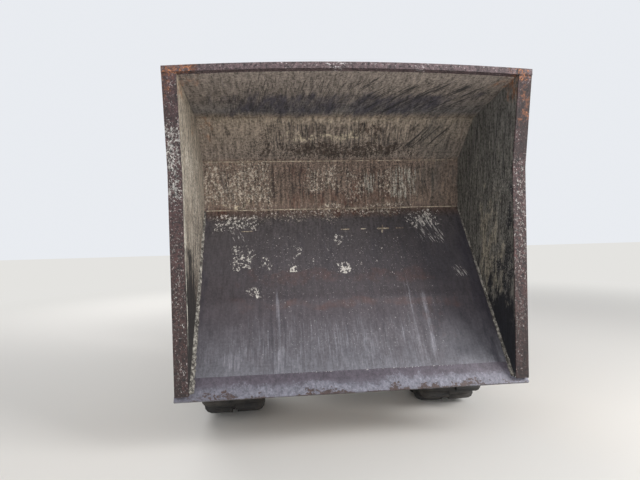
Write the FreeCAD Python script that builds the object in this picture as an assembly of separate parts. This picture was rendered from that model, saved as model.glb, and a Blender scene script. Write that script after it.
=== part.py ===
import FreeCAD, Part
import math
import os

V = FreeCAD.Vector

# Site dumper with the skip tipped right forward. Millimetres, +Z up, the front faces -Y.
# Sections are worked out with y = 0 at the articulation pin and moved to the middle at the end.

# Running gear
WHEELBASE = 2600.0
TYRE_RADIUS = 575.0
TYRE_WIDTH = 490.0
RIM_RADIUS = 286.0
RIM_FLANGE = 18.0
AXLE_Z = TYRE_RADIUS

# Widths behind the skip: the bonnet sets the deck, the deck sets the track, and the mudguards follow
BONNET_HALF = 470.0
EXHAUST_ROOM = 130.0
DECK_HALF = BONNET_HALF + EXHAUST_ROOM
DECK_TYRE_GAP = 37.5
TRACK = 2 * (DECK_HALF + DECK_TYRE_GAP + TYRE_WIDTH / 2)
GUARD_OVERHANG = 12.5
GUARD_X = (DECK_HALF, TRACK / 2 + TYRE_WIDTH / 2 + GUARD_OVERHANG)

# Axles
HUB_RADIUS = 115.0
HUB_INSET = 130.0
HUB_CAP_REACH = 85.0
HUB_CAP_RADIUS = 80.0
SPINDLE_R = 40.0
SPINDLE_LENGTH = 120.0
AXLE_TUBE_RADIUS = 80.0
AXLE_PAD = 140.0
DIFFERENTIAL_R = 150.0
NOSE_R = 70.0
NOSE_LENGTH = 240.0
RUN_GAP = 0.3

# Tyre: flats round it, with one lug on each, on alternate halves
TYRE_FLATS = 32
BEAD_INSET = 35.0
TYRE_LUG_DEPTH = 30.0
TYRE_LUG_WIDTH = 44.0
TYRE_LUG_SWEEP = 44.0
TYRE_LUG_INNER = 14.0
TYRE_SHOULDER = 50.0

# Wheel disc and the holes that a hand reaches through
DISC_X = (46.0, 60.0)
DISC_BEND_R = 200.0
HAND_HOLES = 8
HAND_HOLE_R = 22.0

# Skip, as it stands when tipped: depth is counted from the lip plane towards the rear
LIP_AHEAD_OF_AXLE = 975.0
SKIP_HALF = 1110.0
RIM_WIDTH = 90.0
RIM_HALF = SKIP_HALF + RIM_WIDTH
LIP_OVERHANG = 8.0
LIP_HALF = RIM_HALF + LIP_OVERHANG
LIP_Z = 408.0
FLOOR_T = 10.0
SIDE_T = 8.0
LIP_T = 20.0
LIP_WIDTH = 155.0
RIM_BAR_DEPTH = 60.0
RIM_BAR_HEIGHT = 40.0
RIM_BOW = 36.0
FLANGE_T = 10.0
FLANGE_RETURN = 55.0
SIDE_STAND_OUT = 6.0
GUSSET_HEIGHTS = (700.0, 1150.0, 1600.0)
GUSSET_T = 8.0
GUSSET_REACH = 90.0

# Inside line of the floor and back: depth behind the lip, height
SKIP_LINE = {
    "lip": (0.0, 408.0),
    "floor_end": (989.0, 1684.0),
    "back_low": (970.0, 2097.0),
    "back_high": (618.0, 2383.0),
    "rim": (-60.0, 2492.0),
}
KNEE = (-12.0, 1900.0)
RIM_FRONT = -120.0

# Tipping gear
TIP_ANGLE = 78.0
PIVOT_BEHIND_AXLE = -127.0
PIVOT_Z = 1100.0
PIVOT_PIN_R = 25.0
UPRIGHT_X = (530.0, 580.0)
LUG_T = 22.0
BEAM_X = (480.0, 608.0)
BEAM_DEPTH = 100.0
BEAM_START = 240.0
BEAM_TAPER = 120.0
CROSS_DEPTH = 70.0
CROSS_WIDTH = 90.0
CROSS_PLACES = (430.0, 820.0, 1480.0)
PIVOT_GAP = 5.0
PIVOT_ROOT = (900.0, 1230.0)
CHEEK_ROOT = (1270.0, 1500.0)
RAM_X = 170.0
RAM_BASE_BEHIND_AXLE = 780.0
RAM_BASE_Z = 580.0
RAM_EYE_LOWERED = (298.0, -30.0)
RAM_BARREL_R = 55.0
RAM_ROD_R = 27.0
EYE_R = 45.0
EYE_WIDTH = 60.0
CHEEK_T = 18.0
CHEEK_GAP = 1.0
PIN_R = 22.0
PIN_HEAD = 10.0
RAM_GLAND = 45.0
RAM_END_ROOM = 105.0

# Front frame
RAIL_X = (360.0, 460.0)
RAIL_Z = (660.0, 860.0)
RAIL_FRONT_AHEAD = 420.0
CROSS_Y = (-460.0, -360.0)
FORK_LOW = (450.0, 495.0)
FORK_HIGH = (740.0, 780.0)
FORK_ROOT = 170.0
FORK_END_R = 110.0
CENTRE_PIN_R = 35.0
CENTRE_TUBE_R = 85.0
TRUNNION_Z = 620.0
TRUNNION_R = 60.0
BEARING_R = 105.0
BEARING_Y = (130.0, 430.0)

# Steering
STEER_LIMIT = 36.0
OSCILLATION_LIMIT = 10.0
STEER_ARM = 200.0
STEER_Z = 550.0
STEER_BASE = (400.0, -850.0)
STEER_BARREL_R = 36.0
STEER_ROD_R = 20.0
STEER_EYE_R = 36.0
STEER_EYE_WIDTH = 50.0
STEER_PIN_R = 16.0
ARM_T = 14.0

# Rear frame and platform
REAR_RAIL_X = (260.0, 340.0)
REAR_RAIL_Z = (660.0, 840.0)
REAR_END_Y = 2030.0
REAR_END_T = 30.0
REAR_END_Z = (560.0, 862.0)
REAR_END_MARGIN = 50.0
REAR_NOSE_Y = 160.0
SADDLE_Z = 700.0
REAR_WEB = (80.0, 300.0)
OUTRIGGER_Z = 780.0
OUTRIGGERS = ((200.0, 260.0), (600.0, 660.0), (995.0, 1075.0), (1750.0, 1820.0))
DECK_Y = (50.0, 1080.0)
DECK_T = 15.0
BUMPER_Y = 2170.0
BUMPER_Z = (480.0, 880.0)
JAW_LENGTH = 120.0
JAW_HALF = 60.0
JAW_T = 30.0
JAW_Z = 595.0
TIE_X = 420.0
TIE_Z = 630.0
TIE_BORE_R = 30.0
TIE_PLATE_T = 30.0
TIE_REACH = 42.0
JAW_BORE_R = 15.5
BONNET_Y = (1095.0, 1990.0)
BONNET_Z = (862.0, 1460.0)
BONNET_T = 6.0
SHOULDER_WIDTH = 110.0
SHOULDER_DROP = 90.0
LOUVRES = 8
LOUVRE_Y = 1330.0
LOUVRE_PITCH = 62.0
LOUVRE_Z = (1010.0, 1270.0)
LOUVRE_WIDTH = 18.0
ENGINE_X = 240.0
ENGINE_Y = (1180.0, 1780.0)
ENGINE_Z = (790.0, 1250.0)
GRILLE_Y = (1905.0, 1965.0)
SLAT_PITCH = 38.0
BONNET_HINGE = (1985.0, 930.0)
BONNET_OPEN = 55.0
HINGE_PIN_R = 9.0
ROPS_X = DECK_HALF - 50.0
ROPS_Y = 1035.0
ROPS_HINGE_Z = 1620.0
ROPS_TOP = 3100.0
ROPS_TUBE = 70.0
ROPS_CORNER = 190.0
ROPS_PIN_R = 14.0
ROPS_FOLD = 90.0
GUARD_Y = (640.0, 800.0, 1800.0, 1960.0)
GUARD_Z = (900.0, 1080.0, 1240.0)
GUARD_T = 6.0
GUARD_LIP = 30.0
STEP_REACH = 230.0
STEP_Y = (250.0, 560.0)
STEP_T = 10.0
TREAD_T = 20.0
LOW_TREAD_Z = 400.0
HIGH_TREAD_Z = 600.0
SEAT_Y = (600.0, 975.0)
SEAT_Z = 1160.0
SEAT_HALF = 250.0
CUSHION_T = 125.0
BACK_HALF = 240.0
BACK_TOP = 1640.0
BACK_T = 80.0
HEADLAMP_R = 70.0
HEADLAMP_X = 900.0
HEADLAMP_Z = 1000.0
STACK_R = 26.0
STACK_TOP = 1480.0
SILENCER_R = 48.0
SILENCER_Z = (930.0, 1300.0)
BEACON_X = 300.0
TANK_Z = (420.0, 780.0)
TANK_Y = (215.0, 640.0)
RAIL_HOOP_R = 60.0
GRAB_R = 16.0
GRAB_TOP = 1600.0
GRAB_SPAN = (135.0, 165.0)

# Steering wheel, on a column that leans back
CONSOLE_BACK = (255.0, 1190.0)
CONSOLE_TOP = (130.0, 1310.0)
COLUMN_FOOT = (200.0, 1180.0)
COLUMN_LEAN = 30.0
COLUMN_LENGTH = 300.0
CONSOLE_HALF = 240.0
STEERING_WHEEL_R = 190.0

FRONT_AXLE_Y = -WHEELBASE / 2
REAR_AXLE_Y = WHEELBASE / 2
LIP_Y = FRONT_AXLE_Y - LIP_AHEAD_OF_AXLE
PIVOT_Y = FRONT_AXLE_Y + PIVOT_BEHIND_AXLE
FRONT_END_Y = LIP_Y + RIM_FRONT
BACK_END_Y = BUMPER_Y + JAW_LENGTH
SHIFT_Y = -(FRONT_END_Y + BACK_END_Y) / 2


def box(x0, y0, z0, x1, y1, z1):
    """Block between two opposite corners."""
    low = V(min(x0, x1), min(y0, y1), min(z0, z1))
    return Part.makeBox(abs(x1 - x0), abs(y1 - y0), abs(z1 - z0), low)


def rod(radius, start, end):
    """Round bar between two points."""
    start, end = V(*start), V(*end)
    return Part.makeCylinder(radius, (end - start).Length, start, end - start)


def join(pieces):
    """One solid from pieces that meet."""
    whole = pieces[0].fuse(pieces[1:]) if len(pieces) > 1 else pieces[0]
    return whole.removeSplitter()


def group(pieces):
    return Part.makeCompound(pieces)


def mirrored(shape):
    return shape.mirror(V(0, 0, 0), V(1, 0, 0))


def both_sides(shape):
    return [shape, mirrored(shape)]


def unit(a, b):
    length = math.hypot(b[0] - a[0], b[1] - a[1])
    return ((b[0] - a[0]) / length, (b[1] - a[1]) / length)


def wire(points, place):
    """Closed outline. Each point is (a, b) or (a, b, corner radius)."""
    edges = []
    starts, ends, arcs = [], [], []
    count = len(points)
    for i in range(count):
        before, here, after = points[i - 1], points[i], points[(i + 1) % count]
        back, ahead = unit(here, before), unit(here, after)
        radius = here[2] if len(here) > 2 else 0.0
        if radius > 0:
            cosine = back[0] * ahead[0] + back[1] * ahead[1]
            half = math.acos(max(-1.0, min(1.0, cosine))) / 2
            run = radius / math.tan(half)
            start = (here[0] + back[0] * run, here[1] + back[1] * run)
            end = (here[0] + ahead[0] * run, here[1] + ahead[1] * run)
            middle = unit((0, 0), (back[0] + ahead[0], back[1] + ahead[1]))
            reach = radius / math.sin(half) - radius
            arcs.append((start, (here[0] + middle[0] * reach, here[1] + middle[1] * reach), end))
        else:
            start = end = (here[0], here[1])
            arcs.append(None)
        starts.append(start)
        ends.append(end)
    for i in range(count):
        if arcs[i]:
            a, m, b = arcs[i]
            edges.append(Part.Arc(place(*a), place(*m), place(*b)).toShape())
        nearest = starts[(i + 1) % count]
        if math.hypot(nearest[0] - ends[i][0], nearest[1] - ends[i][1]) > 1e-6:
            edges.append(Part.LineSegment(place(*ends[i]), place(*nearest)).toShape())
    return Part.Wire(edges)


def prism_x(points, x0, x1):
    """Outline of (y, z) points, thick along X."""
    face = Part.Face(wire(points, lambda a, b: V(x0, a, b)))
    return face.extrude(V(x1 - x0, 0, 0))


def prism_y(points, y0, y1):
    """Outline of (x, z) points, thick along Y."""
    face = Part.Face(wire(points, lambda a, b: V(a, y0, b)))
    return face.extrude(V(0, y1 - y0, 0))


def prism_z(points, z0, z1):
    """Outline of (x, y) points, thick along Z."""
    face = Part.Face(wire(points, lambda a, b: V(a, b, z0)))
    return face.extrude(V(0, 0, z1 - z0))


def turned(points, y, z):
    """Outline of (x, radius) points, turned about a line along X."""
    face = Part.Face(wire(points, lambda a, b: V(a, y, z + b)))
    return face.revolve(V(0, y, z), V(1, 0, 0), 360)


def beside(line, distance):
    """The same open line, moved sideways to its right-hand side."""
    moved = []
    for i, point in enumerate(line):
        if i == 0:
            d = unit(line[0], line[1])
            moved.append((point[0] + d[1] * distance, point[1] - d[0] * distance))
        elif i == len(line) - 1:
            d = unit(line[-2], line[-1])
            moved.append((point[0] + d[1] * distance, point[1] - d[0] * distance))
        else:
            d, e = unit(line[i - 1], point), unit(point, line[i + 1])
            n = (d[1] + e[1], -d[0] - e[0])
            size = math.hypot(*n)
            n = (n[0] / size, n[1] / size)
            scale = distance / (n[0] * d[1] - n[1] * d[0])
            moved.append((point[0] + n[0] * scale, point[1] + n[1] * scale))
    return moved


def strip(line, near, far):
    """Closed outline of a bent plate between two distances beside a line."""
    return beside(line, near) + beside(line, far)[::-1]


def skip_point(name):
    depth, height = SKIP_LINE[name]
    return (LIP_Y + depth, height)


def along_floor(distance, drop=0.0):
    """Point on the floor's inside line, counted from the lip, and how far behind the plate."""
    lip, end = skip_point("lip"), skip_point("floor_end")
    d = unit(lip, end)
    return (lip[0] + d[0] * distance + d[1] * drop, lip[1] + d[1] * distance - d[0] * drop)


def swing(offset, degrees):
    """Turn a (y, z) offset about X."""
    c, s = math.cos(math.radians(degrees)), math.sin(math.radians(degrees))
    return (offset[0] * c - offset[1] * s, offset[0] * s + offset[1] * c)


RAM_EYE_OFFSET = swing(RAM_EYE_LOWERED, TIP_ANGLE)
RAM_EYE = (PIVOT_Y + RAM_EYE_OFFSET[0], PIVOT_Z + RAM_EYE_OFFSET[1])
RAM_EYE_DOWN = (PIVOT_Y + RAM_EYE_LOWERED[0], PIVOT_Z + RAM_EYE_LOWERED[1])
RAM_BASE = (FRONT_AXLE_Y + RAM_BASE_BEHIND_AXLE, RAM_BASE_Z)
RAM_LONG = math.dist(RAM_BASE, RAM_EYE)
RAM_SHORT = math.dist(RAM_BASE, RAM_EYE_DOWN)
RAM_STROKE = RAM_LONG - RAM_SHORT


def skip_wrapper():
    """Floor plate and the folded back, with the top panel bowed out to the rim."""
    top_of_lip = along_floor(LIP_WIDTH)
    line = [top_of_lip] + [skip_point(n) for n in ("floor_end", "back_low", "back_high", "rim")]
    outer = beside(line, FLOOR_T)
    lower = line[:4] + outer[:4][::-1]
    plate = prism_x(lower, -SKIP_HALF, SKIP_HALF)
    fold = [line[3], outer[3]]
    edge_y = line[4][0]
    height = line[4][1]
    first = Part.makePolygon([V(-SKIP_HALF, *fold[0]), V(SKIP_HALF, *fold[0]), V(SKIP_HALF, *fold[1]),
                              V(-SKIP_HALF, *fold[1]), V(-SKIP_HALF, *fold[0])])
    ends = [V(-SKIP_HALF, edge_y, height), V(SKIP_HALF, edge_y, height),
            V(SKIP_HALF, edge_y, height + FLOOR_T), V(-SKIP_HALF, edge_y, height + FLOOR_T)]
    low_arc = Part.Arc(ends[0], V(0, edge_y, height + RIM_BOW), ends[1]).toShape()
    high_arc = Part.Arc(ends[2], V(0, edge_y, height + FLOOR_T + RIM_BOW), ends[3]).toShape()
    second = Part.Wire([low_arc, Part.LineSegment(ends[1], ends[2]).toShape(), high_arc,
                        Part.LineSegment(ends[3], ends[0]).toShape()])
    top_panel = Part.makeLoft([first, second], True, True)
    return join([plate, top_panel])


def flange_line():
    """Front face of the side flanges, from the rim bar's top down to the lip."""
    return [(LIP_Y + RIM_FRONT, SKIP_LINE["rim"][1] + RIM_BAR_HEIGHT),
            (LIP_Y + KNEE[0], KNEE[1]),
            (LIP_Y + KNEE[0], LIP_Z + 33.0)]


def skip_side():
    """One flat side, standing on the edges of the floor and back, with its front edge on the flange."""
    line = [skip_point(n) for n in ("lip", "floor_end", "back_low", "back_high", "rim")]
    outer = beside(line, FLOOR_T + SIDE_STAND_OUT)
    top, knee, _ = beside(flange_line(), -FLANGE_T)
    under_bar = (top[0] + (knee[0] - top[0]) * (top[1] - line[-1][1]) / (top[1] - knee[1]), line[-1][1])
    foot = (knee[0], LIP_Z + 60.0)
    points = outer + [line[-1], under_bar, knee, foot]
    points[0] = along_floor(LIP_WIDTH / 4 + 1.0, FLOOR_T + SIDE_STAND_OUT)
    points.append(along_floor(LIP_WIDTH / 4 + 1.0, 0.0))
    return prism_x(points, SKIP_HALF, SKIP_HALF + SIDE_T)


def skip_rim():
    """Flat flange with a folded return down each side, and the bowed bar across the back."""
    front = flange_line()
    flange = prism_x(strip(front, 0.0, -FLANGE_T), SKIP_HALF, RIM_HALF)
    fold = prism_x(strip(front, 0.0, -FLANGE_RETURN), RIM_HALF - SIDE_T, RIM_HALF)
    low = SKIP_LINE["rim"][1]
    y0 = LIP_Y + RIM_FRONT

    def bow(height):
        return Part.Arc(V(-RIM_HALF, y0, height), V(0, y0, height + RIM_BOW), V(RIM_HALF, y0, height))

    under, over = bow(low).toShape(), bow(low + RIM_BAR_HEIGHT).toShape()
    ends = [Part.LineSegment(V(x, y0, low), V(x, y0, low + RIM_BAR_HEIGHT)).toShape()
            for x in (-RIM_HALF, RIM_HALF)]
    bar = Part.Face(Part.Wire([under, ends[1], over, ends[0]])).extrude(V(0, RIM_BAR_DEPTH, 0))
    halves = both_sides(flange) + both_sides(fold)
    wall, back = SKIP_HALF + SIDE_T, LIP_Y + KNEE[0] + FLANGE_T / 2
    edge = RIM_HALF - SIDE_T / 2
    gusset = [(wall, back), (edge, back), (edge, back + FLANGE_RETURN / 2), (wall, back + GUSSET_REACH)]
    for z in GUSSET_HEIGHTS:
        halves += both_sides(prism_z(gusset, z, z + GUSSET_T))
    return join([bar] + halves)


def skip_lip():
    """Thick wear plate along the pouring edge."""
    def strip_of(width):
        return [along_floor(0.0), along_floor(width), along_floor(width, LIP_T), along_floor(0.0, LIP_T)]

    plate = prism_x(strip_of(LIP_WIDTH), -SKIP_HALF, SKIP_HALF)
    wing = prism_x(strip_of(LIP_WIDTH / 4), SKIP_HALF, LIP_HALF)
    return join([plate] + both_sides(wing))


def lug(x0, x1, centre, radius, root):
    """Plate from a root line to a round end about a pin."""
    side = unit(root[0], root[1])
    a = (centre[0] - side[0] * radius, centre[1] - side[1] * radius)
    b = (centre[0] + side[0] * radius, centre[1] + side[1] * radius)
    plate = prism_x([root[0], root[1], b, a], x0, x1)
    return plate.fuse(rod(radius, (x0, *centre), (x1, *centre)))


def skip_underframe():
    """Two box beams under the floor with pivot lugs, cross members and the rams' cheeks."""
    end = math.dist(SKIP_LINE["lip"], SKIP_LINE["floor_end"]) - 2 * FLOOR_T
    beam = prism_x([along_floor(BEAM_START, FLOOR_T), along_floor(end, FLOOR_T),
                    along_floor(end - BEAM_TAPER / 3, FLOOR_T + BEAM_DEPTH),
                    along_floor(BEAM_START + BEAM_TAPER, FLOOR_T + BEAM_DEPTH)], *BEAM_X)
    crosses = []
    for place in CROSS_PLACES:
        outline = [along_floor(place, FLOOR_T), along_floor(place + CROSS_WIDTH, FLOOR_T),
                   along_floor(place + CROSS_WIDTH, FLOOR_T + CROSS_DEPTH),
                   along_floor(place, FLOOR_T + CROSS_DEPTH)]
        crosses.append(prism_x(outline, -BEAM_X[0], BEAM_X[0]))
    pivot = (PIVOT_Y, PIVOT_Z)
    root = tuple(along_floor(place, FLOOR_T + BEAM_DEPTH / 2) for place in PIVOT_ROOT)
    inner, outer = UPRIGHT_X[0] - PIVOT_GAP, UPRIGHT_X[1] + PIVOT_GAP
    lugs = [lug(x0, x0 + LUG_T, pivot, PIVOT_PIN_R + 35.0, root) for x0 in (inner - LUG_T, outer)]
    pin = rod(PIVOT_PIN_R, (inner - LUG_T - 8.0, *pivot), (outer + LUG_T + 6.0, *pivot))
    cheek_root = tuple(along_floor(place, FLOOR_T) for place in CHEEK_ROOT)
    near, far = RAM_X - EYE_WIDTH / 2 - CHEEK_GAP, RAM_X + EYE_WIDTH / 2 + CHEEK_GAP
    cheeks = [lug(x0, x0 + CHEEK_T, RAM_EYE, EYE_R + 10.0, cheek_root) for x0 in (near - CHEEK_T, far)]
    heads = [rod(PIN_R + 8.0, (near - CHEEK_T - PIN_HEAD, *RAM_EYE), (near - CHEEK_T, *RAM_EYE)),
             rod(PIN_R + 8.0, (far + CHEEK_T, *RAM_EYE), (far + CHEEK_T + PIN_HEAD, *RAM_EYE))]
    halves = []
    for piece in [beam, pin] + lugs + cheeks + heads:
        halves += both_sides(piece)
    return join(crosses + halves)


def between(start, end, distance):
    d = unit(start, end)
    return (start[0] + d[0] * distance, start[1] + d[1] * distance)


def tip_ram(side):
    """Barrel on its base pin, and rod with its eye between the cheeks."""
    x = side * RAM_X
    half = EYE_WIDTH / 2

    def at(distance):
        return (x, *between(RAM_BASE, RAM_EYE, distance))

    barrel_end = RAM_SHORT - RAM_END_ROOM
    foot = EYE_R + 15.0
    neck = rod(RAM_BARREL_R - 10.0, at(0.0), at(foot))
    across = box(x - half, RAM_BASE[0] - 4 * EYE_R, RAM_BASE[1] - 2 * EYE_R,
                 x + half, RAM_BASE[0] + 2 * EYE_R, RAM_BASE[1] + 4 * EYE_R)
    barrel = join([rod(EYE_R, (x - half, *RAM_BASE), (x + half, *RAM_BASE)), neck.common(across),
                   rod(RAM_BARREL_R, at(foot), at(barrel_end)),
                   rod(RAM_BARREL_R + 6.0, at(barrel_end - RAM_GLAND), at(barrel_end))])
    barrel = barrel.cut(rod(RAM_ROD_R + RUN_GAP, at(foot + 15.0), at(RAM_LONG)))
    barrel = barrel.cut(rod(PIN_R + RUN_GAP, (x - half, *RAM_BASE), (x + half, *RAM_BASE)))
    shaft = join([rod(RAM_ROD_R, at(foot + 25.0 + RAM_STROKE), at(RAM_LONG - EYE_R / 3)),
                  rod(EYE_R, (x - half, *RAM_EYE), (x + half, *RAM_EYE))])
    return barrel, shaft


def axle(y):
    """Beam axle with a swollen differential housing, hub carriers and spindles."""
    inner = TRACK / 2 - HUB_INSET - RUN_GAP
    carrier, tip = HUB_RADIUS + 10.0, TRACK / 2 - HUB_INSET - RUN_GAP + SPINDLE_LENGTH
    # Half outline from the middle outwards: place along the axle, radius, corner radius
    half = [(70.0, DIFFERENTIAL_R, 60.0), (200.0, AXLE_TUBE_RADIUS, 60.0), (inner - 60.0, AXLE_TUBE_RADIUS),
            (inner - 60.0, carrier), (inner, carrier), (inner, SPINDLE_R), (tip, SPINDLE_R), (tip, 0.0)]
    other = [(-point[0],) + point[1:] for point in reversed(half)]
    beam = turned(other + half, y, AXLE_Z)
    rails = RAIL_X if y < 0 else REAR_RAIL_X
    pad = box(rails[0], y - AXLE_PAD / 2, AXLE_Z, rails[1], y + AXLE_PAD / 2, RAIL_Z[0])
    facing = 1 if y < 0 else -1
    nose = rod(NOSE_R, (0, y, AXLE_Z), (0, y + facing * NOSE_LENGTH, AXLE_Z))
    return join([beam, nose] + both_sides(pad))


def front_frame():
    """Two rails, pivot beam with uprights, rear cross beam and the articulation fork."""
    front = FRONT_AXLE_Y - RAIL_FRONT_AHEAD
    rail = box(RAIL_X[0], front, RAIL_Z[0], RAIL_X[1], CROSS_Y[1], RAIL_Z[1])
    nose = box(-RAIL_X[0], front, RAIL_Z[0] + 40.0, RAIL_X[0], front + 80.0, RAIL_Z[1] - 40.0)
    rear = box(-RAIL_X[0], CROSS_Y[0], RAIL_Z[0], RAIL_X[0], CROSS_Y[1], RAIL_Z[1])
    core = box(-160.0, CROSS_Y[0], FORK_LOW[0], 160.0, CROSS_Y[1], RAIL_Z[0])
    pivot_beam = box(-UPRIGHT_X[1], PIVOT_Y - 90.0, RAIL_Z[0] + 80.0, UPRIGHT_X[1], PIVOT_Y + 90.0, RAIL_Z[1])
    root = ((PIVOT_Y - 90.0, RAIL_Z[1] - 60.0), (PIVOT_Y + 90.0, RAIL_Z[1] - 60.0))
    upright = lug(*UPRIGHT_X, (PIVOT_Y, PIVOT_Z), 62.0, root)
    rest_y = FRONT_AXLE_Y + 395.0
    rest = join([box(RAIL_X[1], rest_y - 40.0, RAIL_Z[0] + 40.0, 590.0, rest_y + 40.0, RAIL_Z[1]),
                 box(490.0, rest_y - 40.0, RAIL_Z[1], 590.0, rest_y + 40.0, 925.0)])
    bore = rod(PIVOT_PIN_R + RUN_GAP, (UPRIGHT_X[0] - 1.0, PIVOT_Y, PIVOT_Z),
               (UPRIGHT_X[1] + 1.0, PIVOT_Y, PIVOT_Z))
    plates = []
    fork = [(-FORK_ROOT, CROSS_Y[1]), (FORK_ROOT, CROSS_Y[1]), (FORK_END_R, 0.0), (-FORK_END_R, 0.0)]
    for z0, z1 in (FORK_LOW, FORK_HIGH):
        plate = prism_z(fork, z0, z1)
        plates.append(plate.fuse(Part.makeCylinder(FORK_END_R, z1 - z0, V(0, 0, z0))))
    pin = rod(CENTRE_PIN_R, (0, 0, FORK_LOW[0] - 15.0), (0, 0, FORK_HIGH[1] + 18.0))
    inner = EYE_WIDTH / 2 + CHEEK_GAP
    base_root = ((CROSS_Y[0] + 10.0, RAM_BASE_Z - 60.0), (CROSS_Y[0] + 10.0, RAM_BASE_Z + 110.0))
    near, far = RAM_X - inner - CHEEK_T, RAM_X + inner + CHEEK_T
    ram_seats = [lug(x0, x0 + CHEEK_T, RAM_BASE, EYE_R + 5.0, base_root) for x0 in (near, RAM_X + inner)]
    seat_pad = box(near, CROSS_Y[0], RAM_BASE_Z - 70.0, far, CROSS_Y[0] + 60.0, RAIL_Z[0])
    ram_pin = rod(PIN_R, (near - PIN_HEAD, *RAM_BASE), (far + PIN_HEAD, *RAM_BASE))
    bx, by = STEER_BASE
    half = STEER_EYE_WIDTH / 2 + CHEEK_GAP
    steer_seat = []
    wide = STEER_EYE_R + 4.0
    for z0 in (STEER_Z - half - ARM_T, STEER_Z + half):
        plate = box(bx - wide, by - 120.0, z0, bx + wide, by, z0 + ARM_T)
        steer_seat.append(plate.fuse(Part.makeCylinder(wide, ARM_T, V(bx, by, z0))))
    steer_seat.append(box(bx - wide, by - 120.0, STEER_Z - half - ARM_T, bx + wide, by - 70.0, RAIL_Z[0]))
    reach = half + ARM_T + 8.0
    steer_seat.append(rod(STEER_PIN_R, (bx, by, STEER_Z - reach), (bx, by, STEER_Z + reach)))
    middle = (RAIL_X[0] + RAIL_X[1]) / 2
    eye = box(RAIL_X[0], front - 2 * TIE_REACH, RAIL_Z[0], RAIL_X[1], front, RAIL_Z[0] + TIE_PLATE_T)
    eye = eye.cut(rod(TIE_BORE_R, (middle, front - TIE_REACH, RAIL_Z[0] - 1.0),
                      (middle, front - TIE_REACH, RAIL_Z[0] + TIE_PLATE_T + 1.0)))
    halves = []
    for piece in [rail, upright, rest, seat_pad, ram_pin, eye] + ram_seats:
        halves += both_sides(piece)
    whole = join([nose, rear, core, pivot_beam, pin] + plates + steer_seat + halves)
    return whole.cut(group(both_sides(bore)))


def centre_pivot():
    """Tube on the articulation pin, steering arm, and the trunnion that lets the rear rock."""
    z0, z1 = FORK_LOW[1] + 1.0, FORK_HIGH[0] - 1.0
    tube = rod(CENTRE_TUBE_R, (0, 0, z0), (0, 0, z1))
    trunnion = rod(TRUNNION_R, (0, 0, TRUNNION_Z), (0, BEARING_Y[1] + 45.0, TRUNNION_Z))
    collar = rod(TRUNNION_R + 25.0, (0, 60.0, TRUNNION_Z), (0, BEARING_Y[0] - 1.0, TRUNNION_Z))
    nut = rod(TRUNNION_R + 25.0, (0, BEARING_Y[1] + 1.0, TRUNNION_Z), (0, BEARING_Y[1] + 30.0, TRUNNION_Z))
    half = STEER_EYE_WIDTH / 2 + CHEEK_GAP
    arms = []
    for z in (STEER_Z - half - ARM_T, STEER_Z + half):
        plate = box(0.0, -48.0, z, STEER_ARM, 48.0, z + ARM_T)
        arms.append(plate.fuse(Part.makeCylinder(48.0, ARM_T, V(STEER_ARM, 0, z))))
    heads = [Part.makeCylinder(24.0, 6.0, V(STEER_ARM, 0, z))
             for z in (STEER_Z - half - ARM_T - 6.0, STEER_Z + half + ARM_T)]
    whole = join([tube, trunnion, collar, nut] + arms + heads)
    return whole.cut(rod(CENTRE_PIN_R + RUN_GAP, (0, 0, z0 - 5.0), (0, 0, z1 + 5.0)))


def steering_ram():
    """Steering ram from the left rail to the centre pivot's arm."""
    start, end = STEER_BASE, (STEER_ARM, 0.0)
    length = math.dist(start, end)
    half = STEER_EYE_WIDTH / 2

    def at(distance):
        p = between(start, end, distance)
        return (p[0], p[1], STEER_Z)

    def eye(point):
        return rod(STEER_EYE_R, (point[0], point[1], STEER_Z - half), (point[0], point[1], STEER_Z + half))

    barrel_end = length - 250.0
    barrel = join([eye(start), rod(STEER_BARREL_R - 12.0, at(0.0), at(50.0)),
                   rod(STEER_BARREL_R, at(50.0), at(barrel_end)),
                   rod(STEER_BARREL_R + 5.0, at(barrel_end - 35.0), at(barrel_end))])
    barrel = barrel.cut(rod(STEER_ROD_R + RUN_GAP, at(70.0), at(length)))
    barrel = barrel.cut(rod(STEER_PIN_R + RUN_GAP, (*start, STEER_Z - half), (*start, STEER_Z + half)))
    shaft = join([eye(end), rod(STEER_ROD_R, at(barrel_end - 200.0), at(length))])
    return barrel, shaft


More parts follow.
